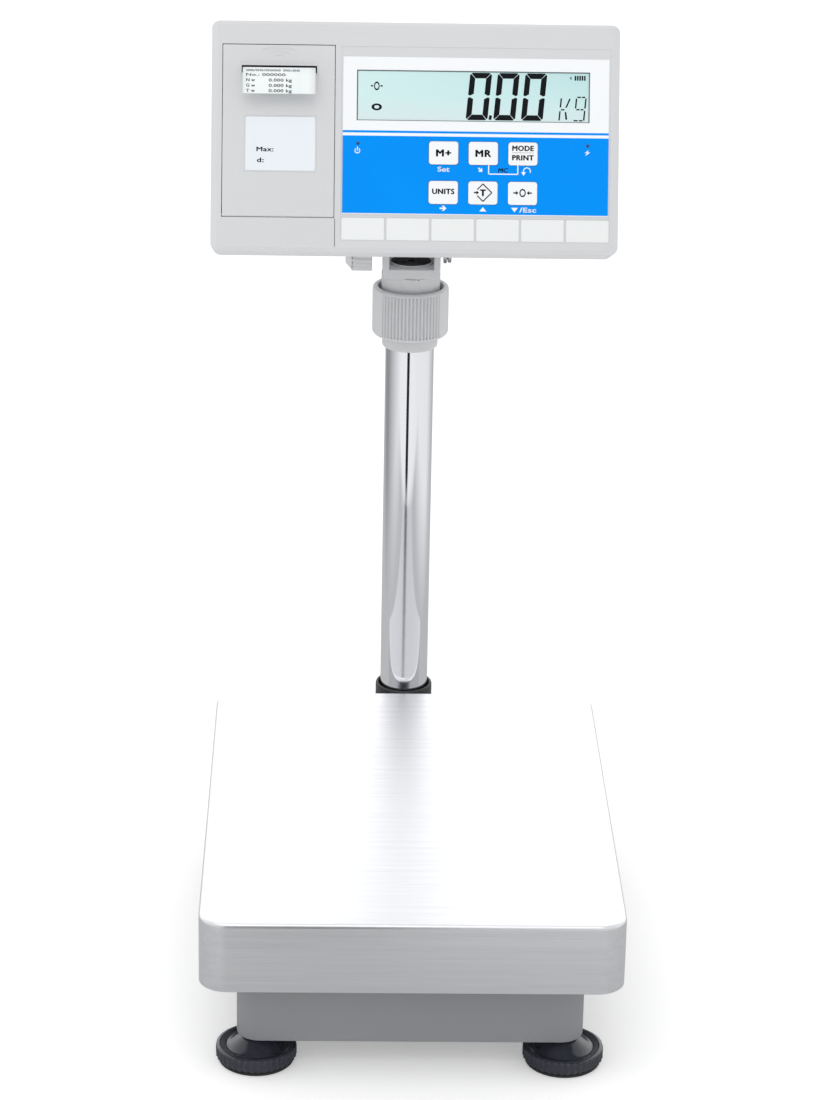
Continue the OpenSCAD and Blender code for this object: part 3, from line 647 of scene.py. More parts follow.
def finishes():
    """How each material slot, and each printing ink, is made"""
    own = settings().colours
    housing, collar, base = tuple(own.housing), tuple(own.collar), tuple(own.base)
    film, blue, ink, foot = tuple(own.film), tuple(own.blue), tuple(own.ink), tuple(own.foot)
    black = linear(30, 31, 34)
    steel = (linear(176, 178, 182), linear(150, 152, 156))
    return {
        "stainless": stainless,
        "base_paint": lambda: moulded("base_paint", base, 0.93, (7.0, 0.6), (700.0, 0.5, 0.00012),
                                      (0.42, 0.14), (900.0, 0.2, tinted(base, 1.25), 0.35)),
        "frame_paint": lambda: moulded("frame_paint", linear(92, 94, 98), 0.9, (9.0, 0.6),
                                       (650.0, 0.5, 0.00014), (0.5, 0.14),
                                       (800.0, 0.22, linear(120, 122, 126), 0.4)),
        "zinc_steel": lambda: brushed("zinc_steel", *steel, (160, 160, 160), 0.8, (0.34, 0.16)),
        "cell_alloy": lambda: brushed("cell_alloy", linear(200, 202, 205), linear(182, 184, 188),
                                      (900, 30, 900), 0.6, (0.36, 0.12)),
        "chrome_tube": lambda: brushed("chrome_tube", linear(243, 244, 247), linear(236, 237, 241),
                                       (30, 30, 4), 0.4, (0.05, 0.03), (0.02, 0.00001)),
        "foot_plastic": lambda: moulded("foot_plastic", foot, linear(56, 59, 69), (30.0, 0.5),
                                        (700.0, 0.15, 0.00005), (0.2, 0.1), Coat_Weight=0.5,
                                        Coat_Roughness=0.08),
        "black_plastic": lambda: moulded("black_plastic", black, linear(44, 45, 49), (20.0, 0.5),
                                         (900.0, 0.4, 0.00008), (0.42, 0.12)),
        "black_rubber": lambda: moulded("black_rubber", linear(26, 26, 28), linear(38, 38, 40), (26.0, 0.6),
                                        (500.0, 0.6, 0.00012), (0.7, 0.12)),
        "cable_jacket": lambda: moulded("cable_jacket", linear(34, 35, 38), linear(46, 47, 50), (40.0, 0.5),
                                        (700.0, 0.4, 0.00006), (0.5, 0.12)),
        "level_vial": level_vial,
        "housing_grey": lambda: moulded("housing_grey", housing, 0.965, (6.0, 0.5), (1250.0, 0.3, 0.00005),
                                        (0.46, 0.1)),
        "collar_grey": lambda: moulded("collar_grey", collar, 0.95, (14.0, 0.5), (1200.0, 0.35, 0.00006),
                                       (0.44, 0.12)),
        "overlay_film": lambda: moulded("overlay_film", film, 0.98, (7.0, 0.5), (1600.0, 0.12, 0.00002),
                                        (0.36, 0.08), Specular_IOR_Level=0.3),
        "display_glass": display_glass,
        "key_plastic": lambda: moulded("key_plastic", film, 0.975, (40.0, 0.5), (1700.0, 0.15, 0.00002),
                                       (0.4, 0.08)),
        "circuit_board": circuit_board,
        "battery_wrap": lambda: moulded("battery_wrap", linear(52, 66, 142), linear(40, 52, 120),
                                        (24.0, 0.6), (700.0, 0.3, 0.00005), (0.3, 0.12), Coat_Weight=0.3,
                                        Coat_Roughness=0.15),
        "port_shell": lambda: brushed("port_shell", *steel, (700, 200, 200), 0.6, (0.28, 0.1)),
        "printer_plastic": lambda: moulded("printer_plastic", linear(74, 77, 82), linear(62, 65, 70),
                                           (16.0, 0.6), (900.0, 0.4, 0.00008), (0.46, 0.12)),
        "roller_rubber": lambda: moulded("roller_rubber", linear(38, 40, 44), linear(50, 52, 56),
                                         (30.0, 0.5), (1100.0, 0.6, 0.00008), (0.62, 0.1)),
        "pinion_brass": lambda: brushed("pinion_brass", linear(206, 176, 106), linear(184, 152, 84),
                                        (300, 300, 300), 0.6, (0.3, 0.12)),
        "thermal_paper": thermal_paper,
        "blue_print": lambda: moulded("blue_print", blue, linear(0, 142, 246), (8.0, 0.6),
                                      (1600.0, 0.12, 0.00002), (0.4, 0.08), Specular_IOR_Level=0.06),
        "black_print": lambda: moulded("black_print", ink, linear(22, 24, 30), (60.0, 0.5),
                                       (1600.0, 0.1, 0.00002), (0.4, 0.06), Specular_IOR_Level=0.1),
        "white_print": lambda: moulded("white_print", linear(250, 252, 254), 0.97, (60.0, 0.5),
                                       (1600.0, 0.1, 0.00002), (0.36, 0.06)),
        "faint_print": lambda: moulded("faint_print", linear(48, 54, 58), linear(86, 92, 94), (300.0, 0.9),
                                       (1600.0, 0.1, 0.00002), (0.5, 0.06)),
        # Dark grey for the housing seam, and for the painted shade round the display's opening
        "line_grey": lambda: moulded("line_grey", linear(84, 98, 100), linear(96, 108, 110), (60.0, 0.5),
                                     (1600.0, 0.1, 0.00002), (0.4, 0.06)),
        "cell_film": lambda: moulded("cell_film", linear(240, 242, 242), 0.98, (12.0, 0.5),
                                     (1500.0, 0.12, 0.00002), (0.3, 0.08)),
        "label_film": lambda: moulded("label_film", linear(234, 241, 246), linear(240, 243, 248),
                                      (14.0, 0.5), (1500.0, 0.12, 0.00002), (0.24, 0.06), Coat_Weight=0.3,
                                      Coat_Roughness=0.1),
        "dark_lamp": lambda: moulded("dark_lamp", linear(8, 52, 120), linear(10, 40, 92), (200.0, 0.5),
                                     (900.0, 0.1, 0.00002), (0.15, 0.05), Coat_Weight=0.7,
                                     Coat_Roughness=0.05),
    }


def material(name):
    """A finish by name, made the first time that it is used"""
    found = bpy.data.materials.get(name)
    if found is None or "bench_scale_finish" not in found:
        if found is not None:
            found.name = name + "_cad"
        found = finishes()[name]()
        found.name = name
        found["bench_scale_finish"] = True
    return found


# ---- Pieces ----


class BENCHSCALE_OT_pan(bpy.types.Operator):
    """Folded and brushed sheet pan"""
    bl_idname = "benchscale.pan"
    bl_label = "Pan"

    def execute(self, context):
        sizes = context.scene.bench_scale.sizes
        low, high = extent("pan")
        bm = box(low, high, corner=20, axis=2, corner_steps=12)
        bottom = [f for f in bm.faces if f.normal.z < -0.9]
        bmesh.ops.delete(bm, geom=bottom, context="FACES_ONLY")
        rim = [e for e in bm.edges if all(v.co.z > high.z - 0.01 for v in e.verts)]
        bmesh.ops.bevel(bm, geom=rim, offset=sizes.pan_bend / MM, segments=6, profile=0.5, affect="EDGES",
                        material=-1)
        bmesh.ops.recalc_face_normals(bm, faces=bm.faces)
        made = piece("pan_sheet", bm, "pan", "stainless", GROUND, ("pan",), even=False)
        wall = made.modifiers.new("sheet", "SOLIDIFY")
        wall.thickness = sizes.pan_sheet
        wall.offset = -1
        wall.use_even_offset = True
        rounded(made, "cut edge", 0.0003, 2, 60)
        evened(made)
        return {"FINISHED"}


class BENCHSCALE_OT_feet(bpy.types.Operator):
    """Ribbed levelling feet on threaded studs"""
    bl_idname = "benchscale.feet"
    bl_label = "Levelling feet"

    def execute(self, context):
        ribs = context.scene.bench_scale.sizes.foot_ribs
        for place in ("front_left", "front_right", "back_left", "back_right"):
            node = "foot_" + place
            low, high = extent(node)
            at = upright(low, high)
            radius, z0 = half_width(node), low.z
            disc = lathe([(0, z0), (radius - 1.2, z0), (radius - 0.3, z0 + 0.5), (radius, z0 + 1.2),
                          (radius, 11.2), (radius - 0.4, 12.2), (radius - 1.4, 12.9), (radius - 2.8, 13.1),
                          (radius - 4.2, 12.9), (radius - 5.4, 12.1), (radius - 7.5, 11.6),
                          (radius - 9.5, 12.3), (17, 14.4), (14.2, 16.4), (11.8, 18.2), (9.6, 19.8),
                          (8.6, 20.5), (0, 20.5)], steps=ribs * 8)
            fluted(disc, ribs, 1.2, z0 - 1, 12.0, radius - 1.3)
            bmesh.ops.recalc_face_normals(disc, faces=disc.faces)
            piece(node + "_disc", disc, node, "foot_plastic", at, (node,), angle=50, even=False)
            thread = [(5 - 0.35 * (i % 2), 20.2 + i * 0.6) for i in range(68)]
            stud = lathe([(0, 19), *thread, (4, 61.8), (0, 62)], steps=32, closed=False)
            piece(node + "_stud", stud, node, "zinc_steel", at, angle=70)
            nut = bmesh.new()
            bmesh.ops.create_cone(nut, cap_ends=True, segments=6, radius1=8, radius2=8, depth=0.9)
            bmesh.ops.translate(nut, vec=(0, 0, 20.9), verts=nut.verts)
            piece(node + "_flange", nut, node, "zinc_steel", at, edge=0.0002)
            sole = "foot_sole_" + place
            radius, top = half_width(sole), extent(sole)[1].z
            pad = lathe([(0, 0.5), (9, 0.5), (10, 0.0), (radius - 0.8, 0.0), (radius, 0.7), (radius, top),
                         (0, top)], steps=96)
            piece(sole + "_pad", pad, "sole_" + place, "black_rubber", at, (sole,), angle=40)
        return {"FINISHED"}


class BENCHSCALE_OT_base(bpy.types.Operator):
    """Painted base shell, its cross member, corner plates, stops, bolts, level and column bracket"""
    bl_idname = "benchscale.base"
    bl_label = "Base"

    def execute(self, context):
        edge = context.scene.bench_scale.sizes.metal_edge
        softened("base_housing", 0.0006)
        for node in ("cross_member", "corner_plates", "overload_stops", "pillar_bracket", "column_socket",
                     "base_bolts"):
            softened(node, edge)
        low, high = extent("spirit_level")
        at = upright(low, high)
        cup = lathe([(0, low.z), (9.4, low.z), (10, low.z + 0.6), (10, low.z + 7.2), (9.2, low.z + 8),
                     (8, low.z + 8), (8, low.z + 9.2), (7.2, high.z), (0, high.z)], steps=64)
        piece("spirit_level_vial", cup, "base", "level_vial", at, ("spirit_level",), angle=40)
        collar = lathe([(8.4, low.z + 7.9), (10, low.z + 7.4), (10, low.z + 8), (9.6, low.z + 8.6),
                        (8.4, low.z + 8.6)], steps=64)
        piece("spirit_level_ring", collar, "base", "zinc_steel", at, angle=50)
        return {"FINISHED"}


class BENCHSCALE_OT_weighing(bpy.types.Operator):
    """Load cell, its spacers, and the bolted frame that carries the pan"""
    bl_idname = "benchscale.weighing"
    bl_label = "Load cell and pan frame"

    def execute(self, context):
        edge = context.scene.bench_scale.sizes.metal_edge
        for node in ("load_cell", "lower_spacer", "upper_spacer", "platform_frame", "platform_bolts"):
            softened(node, edge)
        low, high = extent("pan_bumpers")
        bumpers = bmesh.new()
        reach, radius = high.z - low.z, 10
        dome = [(0, 0), (radius, 0), (radius, reach - 2.4), (9.2, reach - 0.9), (7, reach - 0.15),
                (4, reach), (0, reach)]
        for x in (low.x + radius, high.x - radius):
            for y in (low.y + radius, high.y - radius):
                joined(bumpers, lathe(dome, steps=40), Matrix.Translation((x, y, low.z)))
        piece("pan_bumper_domes", bumpers, "platform", "black_rubber", GROUND, ("pan_bumpers",), angle=50)
        kept("load_cell_cable")
        return {"FINISHED"}


class BENCHSCALE_OT_column(bpy.types.Operator):
    """Polished tube in its black bush"""
    bl_idname = "benchscale.column"
    bl_label = "Column"

    def execute(self, context):
        low, high = extent("column")
        radius = half_width("column")
        tube = lathe([(radius - 1.5, low.z), (radius - 0.3, low.z), (radius, low.z + 0.3),
                      (radius, high.z - 0.3), (radius - 0.3, high.z), (radius - 1.5, high.z)], steps=256)
        piece("column_tube", tube, "base", "chrome_tube", COLUMN, ("column",), angle=40)
        low, high = extent("column_bush")
        outer = half_width("column_bush")
        bush = lathe([(radius + 0.02, low.z), (outer - 0.6, low.z), (outer, low.z + 0.6),
                      (outer, high.z - 1.6), (outer - 0.3, high.z - 0.7), (outer - 1.0, high.z),
                      (radius + 2.2, high.z), (radius + 1.6, high.z - 0.6), (radius + 1.6, high.z - 6),
                      (radius + 0.02, high.z - 6)], steps=128)
        piece("column_bush_turned", bush, "base", SLOT_OF["column_bush"], COLUMN, ("column_bush",), angle=40)
        return {"FINISHED"}


class BENCHSCALE_OT_collar(bpy.types.Operator):
    """Swivelling neck with its cable window, clamping ferrule and ribbed locking nut"""
    bl_idname = "benchscale.collar"
    bl_label = "Neck and locking nut"

    def execute(self, context):
        sizes = context.scene.bench_scale.sizes
        softened("swivel_head", 0.0007, steps=3)
        low, high = extent("locking_nut")
        radius, z0, z1 = half_width("locking_nut"), low.z, high.z
        ferrule = half_width("clamp_ferrule")
        neck = extent("swivel_head")[1].x + 0.8
        wall = [(radius, z) for z in (z0 + 3.2, z0 + 3.5, z1 - 2.6, z1 - 2.3)]
        nut = lathe([(ferrule + 0.1, z0), (radius - 4.5, z0), (radius - 1.6, z0 + 1.1),
                     (radius - 0.4, z0 + 2.4), *wall, (radius - 0.25, z1 - 1.4), (radius - 0.9, z1 - 0.5),
                     (radius - 1.9, z1), (26.3, z1), (25.5, z1 - 0.7), (25.5, z1 - 15), (neck, z1 - 15),
                     (neck, z0 + 5), (ferrule + 0.1, z0 + 5)], steps=sizes.nut_ribs * 10)
        fluted(nut, sizes.nut_ribs, sizes.rib_depth / MM, z0 + 3.4, z1 - 2.5, radius - 0.5, sector=49,
               sharpness=1.6)
        bmesh.ops.recalc_face_normals(nut, faces=nut.faces)
        piece("locking_nut_ribbed", nut, "nut", "collar_grey", COLUMN, ("locking_nut",), angle=40,
              even=False)
        low, high = extent("clamp_ferrule")
        tube = extent("column")[1].x + 0.06
        sleeve = lathe([(tube, low.z), (ferrule - 1.2, low.z), (ferrule - 0.3, low.z + 0.8),
                        (ferrule, low.z + 2), (ferrule, high.z), (tube, high.z)], steps=160)
        piece("clamp_ferrule_turned", sleeve, "ferrule", "collar_grey", COLUMN, ("clamp_ferrule",), angle=40)
        low, high = extent("cable_grommet")
        inner = 13.0
        pleats = [(12.2 - 1.2 * i, high.z - 0.9 * (1 - i % 2)) for i in range(7)]
        boot = lathe([(3, low.z), (inner, low.z), (inner, high.z - 1.5), (15.5, high.z - 1.5),
                      (15.5, high.z - 0.6), (15.0, high.z), (13.4, high.z), *pleats, (3, high.z - 0.5)],
                     steps=72)
        fluted(boot, 24, 0.5, high.z - 1.7, high.z + 0.1, 14.8)
        piece("cable_grommet_ribbed", boot, "swivel", SLOT_OF["cable_grommet"], COLUMN, ("cable_grommet",),
              angle=30)
        seat = lathe([(15.6, high.z - 1.5), (17.4, high.z - 1.5), (17.2, high.z - 0.2), (16.6, high.z),
                      (15.9, high.z - 0.2)], steps=72)
        piece("cable_window_rim", seat, "swivel", "collar_grey", COLUMN, angle=50)
        return {"FINISHED"}


class BENCHSCALE_OT_tilt(bpy.types.Operator):
    """Tilt bracket, bolt, washer and knob"""
    bl_idname = "benchscale.tilt"
    bl_label = "Tilt joint"

    def execute(self, context):
        edge = context.scene.bench_scale.sizes.metal_edge
        softened("tilt_bracket", edge)
        softened("tilt_bolt", edge)
        softened("tilt_washer", 0.0003)
        softened("tilt_knob", 0.0006, steps=3, angle=24)
        return {"FINISHED"}


class BENCHSCALE_OT_housing(bpy.types.Operator):
    """Indicator housing with its screws, sockets and switch"""
    bl_idname = "benchscale.housing"
    bl_label = "Indicator housing"

    def execute(self, context):
        sizes = context.scene.bench_scale.sizes
        softened("front_bezel", sizes.recess_edge, steps=2, angle=22, flat=0)
        softened("rear_cover", sizes.recess_edge, steps=2, angle=22, flat=0)
        for node in ("indicator_screws", "power_inlet", "serial_port"):
            softened(node, sizes.metal_edge)
        softened("power_switch", 0.0009, steps=3)
        seam = outline(rectangle(-59.85, -83.2, -59.35, -62.2), 0.04)
        piece("housing_seam", seam, "indicator", "line_grey")
        pins = bmesh.new()
        pin, pitch = [(0, 0), (0.5, 0), (0.5, 3.6), (0.3, 4), (0, 4)], 2.75
        for count, left, v in ((5, -122.5, -58.6), (4, -121.1, -61.4)):
            for i in range(count):
                at = Matrix.Translation((left + i * pitch, 59.0, v)) @ OUTWARDS
                joined(pins, lathe(pin, steps=16), at)
        piece("serial_pins", pins, "indicator", "pinion_brass", angle=60)
        # Black plates on the rear cover stand for the vent slots: their black is painted shade for the openings
        slots = bmesh.new()
        for i in range(9):
            left = -30 + i * 12.5
            for v in (34, 28):
                joined(slots, box((left, 59.9, v), (left + 8, 60.02, v + 2), corner=0.9, corner_steps=4))
        piece("rear_vents", slots, "indicator", "black_plastic")
        return {"FINISHED"}


class BENCHSCALE_OT_overlay(bpy.types.Operator):
    """Printed overlay with its blue field, lamps and row of label windows"""
    bl_idname = "benchscale.overlay"
    bl_label = "Overlay"

    def execute(self, context):
        bm = bmesh.new()
        bm.from_mesh(nodes["overlay"].data)
        bmesh.ops.remove_doubles(bm, verts=bm.verts, dist=2e-6)
        bmesh.ops.transform(bm, matrix=FACE.inverted(), verts=bm.verts)
        bands = ((-57.9, -0.2), (2.0, 3.7))
        for v in [limit for band in bands for limit in band]:
            bmesh.ops.bisect_plane(bm, geom=bm.verts[:] + bm.edges[:] + bm.faces[:], dist=1e-5,
                                   plane_co=(0, 0, v), plane_no=(0, 0, 1))
        for face in bm.faces:
            v = face.calc_center_median().z
            face.material_index = int(any(low < v < high for low, high in bands))
        piece("overlay_printed", bm, "indicator", ("overlay_film", "blue_print"), FACE, ("overlay",),
              angle=1, even=False)
        row = bmesh.new()
        left, right, count, gap = -55.4, 145.8, 6, 1.8
        pitch = (right - left) / count
        for i in range(count):
            start = left + i * pitch
            joined(row, box((start + gap / 2, 0.3, -77.8), (start + pitch - gap / 2, 0.5, -61.4),
                            0.8, 0.12, corner_steps=3, edge_steps=1))
        piece("label_windows", row, "indicator", "cell_film")
        lamps = bmesh.new()
        for x in (-42.8, 128.6):
            joined(lamps, lathe([(0, 0), (1.25, 0), (1.2, 0.12), (0.7, 0.25), (0, 0.3)], steps=24),
                   Matrix.Translation((x, 0.1, -5.9)) @ OUTWARDS)
        piece("lamps", lamps, "indicator", "dark_lamp", angle=50)
        at = 0.1
        piece("white_legends", self.white_legends(at), "indicator", "white_print", even=False)
        dark = lettering("MC", 3.3, 65.6, -24.8, at, 7.2, 0.2, 0.15)
        piece("dark_legends", dark, "indicator", "black_print", even=False)
        return {"FINISHED"}

    def white_legends(self, at):
        """Second functions and arrows between the keys, and the signs beside the lamps"""
        white = bmesh.new()
        joined(white, lettering("Set", 3.7, 21.1, -24.4, at, 8.6, 0.22))
        joined(white, lettering("/Esc", 3.7, 84.3, -54.1, at, 12.2, 0.22))
        for bar in ((54.4, -28.1, 55.2, -20.9), (76.2, -28.1, 77.0, -20.9), (54.4, -28.1, 77.0, -27.3)):
            inked(white, rectangle(*bar), at)
        arrow = [(-2.6, -0.55), (0.2, -0.55), (-0.9, -1.9), (0.5, -1.9), (2.5, 0), (0.5, 1.9), (-0.9, 1.9),
                 (0.2, 0.55), (-2.6, 0.55)]
        inked(white, [(21.1 + x, -53.6 + v) for x, v in arrow], at)
        turn, corner = Matrix.Rotation(-math.pi / 4, 2), Vector((48.6, -24.7))
        inked(white, [tuple(turn @ Vector((x, v)) * 0.82 + corner) for x, v in arrow], at)
        inked(white, [(48.2, -55.6), (53.4, -55.6), (50.8, -52.4)], at)
        inked(white, [(74.4, -55.9), (77.0, -52.6), (71.8, -52.6)], at)
        joined(white, hoop((83.4, -25.3), 2.9, 2.2, INK_LIFT, at, arc=math.radians(230),
                           start=math.radians(-205)))
        inked(white, [(79.2, -26.0), (82.6, -26.0), (80.9, -28.7)], at)
        inked(white, [(127.0, -13.4), (128.1, -10.9), (126.2, -11.4), (129.4, -8.9), (128.4, -10.9),
                      (130.6, -10.5)], at)
        joined(white, hoop((-43.2, -11.4), 2.1, 1.5, INK_LIFT, at, arc=math.radians(290),
                           start=math.radians(-55)))
        return inked(white, rectangle(-43.5, -11.6, -42.9, -8.4), at)


class BENCHSCALE_OT_display(bpy.types.Operator):
    """Display with its segments, symbols and a dark edge of painted shade"""
    bl_idname = "benchscale.display"
    bl_label = "Display"

    def execute(self, context):
        low, high = (-44.0, 11.1), (129.8, 48.7)
        glass = box((low[0] + 0.1, 0.6, low[1] + 0.1), (high[0] - 0.1, 2.6, high[1] - 0.1))
        piece("display_sheet", glass, "indicator", "display_glass", FACE, ("display_window",), edge=0.0001)
        # A dark grey line of painted shade round the opening, where the recess wall shades the display; thinner at
        # the bottom
        line = frame_ring(low, high, 0.85, 0.2, 0.6, bottom=0.5)
        piece("display_painted_shade_edge", line, "indicator", "line_grey", even=False)
        piece("display_segments", self.segments(0.6), "indicator", "black_print", even=False)
        return {"FINISHED"}

    def segments(self, at):
        """The digits' lit segments, the unit beside them and the small signs round them"""
        ink = bmesh.new()

        def sloped(x0, points):
            inked(ink, [(x0 + x + v * 0.092, 12.3 + v) for x, v in points], at)

        wide, tall, bar, gap = 16.3, 35.2, 4.1, 0.2
        half = tall / 2
        foot = [(1.6 + gap, 0), (wide - 1.6 - gap, 0), (wide - 0.9 - gap, 0.6), (wide - bar - gap, bar),
                (bar + gap, bar), (0.9 + gap, 0.6)]
        head = [(bar + gap, tall - bar), (wide - bar - gap, tall - bar), (wide - 0.9 - gap, tall - 0.6),
                (wide - 1.6 - gap, tall), (1.6 + gap, tall), (0.9 + gap, tall - 0.6)]
        post = [(0, 1.6), (0.8, 0.9), (bar, bar + gap), (bar, half - 1.9), (1.4, half - 0.55),
                (0, half - 1.2)]
        for x0 in (37.2, 57.8, 78.4):
            sloped(x0, foot)
            sloped(x0, head)
            for side in (0, 1):
                for up in (0, 1):
                    shape = post
                    if side:
                        shape = [(wide - x, v) for x, v in reversed(shape)]
                    if up:
                        shape = [(x, tall - v) for x, v in reversed(shape)]
                    sloped(x0, shape)
        sloped(54.0, [(0.2, 0.5), (2.4, 0.3), (2.6, 3.6), (0.5, 3.8)])
        for shape in (rectangle(0.4, 0.6, 1.5, 7.4), rectangle(0.4, 10.2, 1.5, 17.0),
                      [(1.8, 8.0), (4.0, 8.0), (4.4, 8.5), (4.0, 9.0), (1.8, 9.0), (1.4, 8.5)],
                      [(4.6, 10.0), (5.8, 10.0), (8.0, 16.6), (6.9, 16.9)],
                      [(5.6, 1.2), (7.0, 1.2), (5.7, 6.9), (4.5, 6.9)]):
            sloped(106.0, shape)
        for shape in ([(1.2, 9.6), (2.3, 9.6), (2.3, 16.6), (1.2, 17.4)],
                      [(8.2, 9.6), (9.3, 9.6), (9.3, 17.4), (8.2, 16.6)],
                      [(8.2, 0.9), (9.3, 0.5), (9.3, 8.0), (8.2, 8.0)],
                      rectangle(2.2, 17.4, 4.9, 18.4), rectangle(5.7, 17.4, 8.2, 18.4),
                      rectangle(2.4, 8.2, 4.8, 9.2), rectangle(5.6, 8.2, 7.8, 9.2),
                      rectangle(1.2, 0.0, 4.2, 1.0), rectangle(5.1, 0.0, 8.0, 1.0)):
            sloped(116.6, shape)
        joined(ink, hoop((-29.2, 36.8), 3.3, 2.1, INK_LIFT, at, squeeze=0.63))
        for x in (-33.6, -26.5):
            inked(ink, rectangle(x, 36.3, x + 1.7, 37.4), at)
        joined(ink, hoop((-29.1, 21.2), 2.6, 1.25, INK_LIFT, at, squeeze=1.5))
        inked(ink, [(114.6, 44.4), (116.2, 43.0), (115.8, 44.4), (116.2, 45.8)], at)
        for i in range(5):
            x = 118.3 + i * 1.75
            inked(ink, rectangle(x, 42.6, x + 1.2, 46.2), at)
        return ink


class BENCHSCALE_OT_keys(bpy.types.Operator):
    """Six pillowed keys with generic legends"""
    bl_idname = "benchscale.keys"
    bl_label = "Keys"

    def execute(self, context):
        for number in range(1, 7):
            node = f"key_{number}"
            low, high, points = extent_on_face(node)
            x, v, top = (low.x + high.x) / 2, (low.z + high.z) / 2, low.y
            cap = box(low, high, corner=2.2, edge=0.45, edge_steps=4)
            piece(node + "_cap", cap, node, "key_plastic", FACE, (node,))
            ink = self.legend(number, x, v, top)
            piece(node + "_legend", ink, node, "black_print", even=False)
        return {"FINISHED"}

    def legend(self, number, x, v, top):
        """The printing on one key"""
        if number in (1, 2):
            return lettering(("M+", "MR")[number - 1], 5.2, x, v + 0.1, top, (10.7, 11.1)[number - 1], 0.42)
        if number == 3:
            ink = lettering("MODE", 3.9, x, v + 4.2, top, 15.7, 0.28)
            inked(ink, rectangle(x - 8, v + 0.7, x + 8, v + 0.9), top)
            return joined(ink, lettering("PRINT", 3.9, x, v - 2.8, top, 15.7, 0.28))
        if number == 4:
            return lettering("UNITS", 4.0, x, v + 0.9, top, 16.1, 0.3)
        arrow = [(-1.9, -0.5), (0.1, -0.5), (0.1, -1.6), (1.9, 0), (0.1, 1.6), (0.1, 0.5), (-1.9, 0.5)]
        if number == 5:
            ink = lettering("T", 4.9, x, v + 0.2, top, 3.9, 0.42)
            for sign in (-1, 1):
                for a, b in (((-4.2, 2.3), (0, 6.5)), ((0, 6.5), (6.6, 0))):
                    start, end = Vector((a[0], a[1] * sign)), Vector((b[0], b[1] * sign))
                    across = (end - start).orthogonal().normalized() * 0.42
                    corners = [start - across, end - across, end + across, start + across]
                    inked(ink, [(x + c.x, v + 0.2 + c.y) for c in corners], top)
            return inked(ink, [(x - 4.9 + a, v + 0.2 + b) for a, b in arrow], top)
        ink = hoop((x, v + 0.3), 3.1, 2.0, INK_LIFT, top, squeeze=0.77)
        inked(ink, [(x - 5.0 + a, v + 0.3 + b) for a, b in arrow], top)
        return inked(ink, [(x + 5.0 - a, v + 0.3 + b) for a, b in reversed(arrow)], top)


class BENCHSCALE_OT_door(bpy.types.Operator):
    """Paper door with finger grips, tear slot and label, and the slip that hangs from it"""
    bl_idname = "benchscale.door"
    bl_label = "Printer door"

    def execute(self, context):
        softened("paper_door", 0.0005, steps=3, angle=24)
        grips = bmesh.new()
        middle, turned = -101.8, 1.3
        for reach, v, drop in ((12.4, 64.2, 1.5), (8.4, 61.4, 1.1), (4.4, 58.8, 0.7)):
            path = [(middle + reach * t / 6, v - drop * (1 - math.cos(t / 6 * turned)) / 0.73)
                    for t in range(-6, 7)]
            shape = [(x, level + 0.4) for x, level in path]
            shape += [(x, level - 0.4) for x, level in reversed(path)]
            joined(grips, outline(shape, 0.28, 0.02))
        piece("door_grips", grips, "printer_door", "housing_grey", edge=0.00012, angle=50)
        lip = frame_ring((-131.0, 44.3), (-72.6, 53.9), 1.15, 0.22, 0.02)
        joined(lip, outline(rectangle(-129.9, 50.9, -73.7, 52.8), 0.22, 0.02))
        piece("slot_lip", lip, "printer_door", "housing_grey", edge=0.00018, angle=50)
        rim = frame_ring((-127.5, -27.9), (-73.9, 13.8), 0.75, 0.25, 0.02)
        piece("label_rim", rim, "printer_door", "housing_grey", edge=0.0002, angle=50)
        label = box((-126.75, -0.14, -27.1), (-74.65, 0.0, 13.0), 0.8, 0.08, corner_steps=3, edge_steps=1)
        piece("label_plate", label, "printer_door", "label_film")
        words = lettering("Max:", 3.4, -112.0, -11.1, -0.14, 12.4, 0.2)
        joined(words, lettering("d:", 3.5, -115.4, -19.2, -0.14, 4.8, 0.2))
        piece("label_words", words, "printer_door", "black_print", even=False)
        self.slip()
        return {"FINISHED"}

    def slip(self):
        """A strip that comes out of the slot, bends over and hangs; print wraps over it"""
        top, bend, out = 49.2, 9.0, -2.0
        left, right, start, straight = -128.8, -74.8, 12.0, 11.4
        quarter = bend * math.pi / 2

        def place(along, lift):
            """Depth and height of a point that far along the strip and that far off it"""
            if along < start - out:
                return start - along, top + lift
            along -= start - out
            if along < quarter:
                angle = along / bend
                return out - (bend + lift) * math.sin(angle), top - bend + (bend + lift) * math.cos(angle)
            return out - bend - lift, top - bend - (along - quarter)

        length = start - out + quarter + straight
        strip = bmesh.new()
        bmesh.ops.create_grid(strip, x_segments=8, y_segments=60, size=0.5)
        for vert in strip.verts:
            across, along = vert.co.x + 0.5, (vert.co.y + 0.5) * length
            depth, v = place(along, 0.03)
            vert.co = (left + across * (right - left), depth, v)
        bmesh.ops.recalc_face_normals(strip, faces=strip.faces)
        made = piece("slip_paper", strip, "printer_door", "thermal_paper", FACE, ("paper_slip",), angle=60,
                     even=False)
        sheet = made.modifiers.new("sheet", "SOLIDIFY")
        sheet.thickness = 0.00006
        sheet.offset = 0
        print_lines = bmesh.new()
        rows = [("00/00/0000 00:00", 21.4, 2.7, 39.5), ("No.: 000000", 25.4, 2.7, 29.0)]
        for letter, along in (("N", 29.4), ("G", 33.4), ("T", 37.3)):
            rows += [(letter + " w", along, 2.7, 6.4), ("0.000 kg", along, 19.4, 17.0)]
        for words, along, inset, width in rows:
            flat = lettering(words, 2.3, left + inset + width / 2, -along, 0.0, width, 0.12, thickness=0.02)
            bmesh.ops.subdivide_edges(flat, edges=[e for e in flat.edges if e.calc_length() > 0.8], cuts=1)
            for vert in flat.verts:
                depth, v = place(-vert.co.z, 0.075 - vert.co.y)
                vert.co.y, vert.co.z = depth, v
            joined(print_lines, flat)
        piece("slip_print", print_lines, "printer_door", "faint_print", even=False)


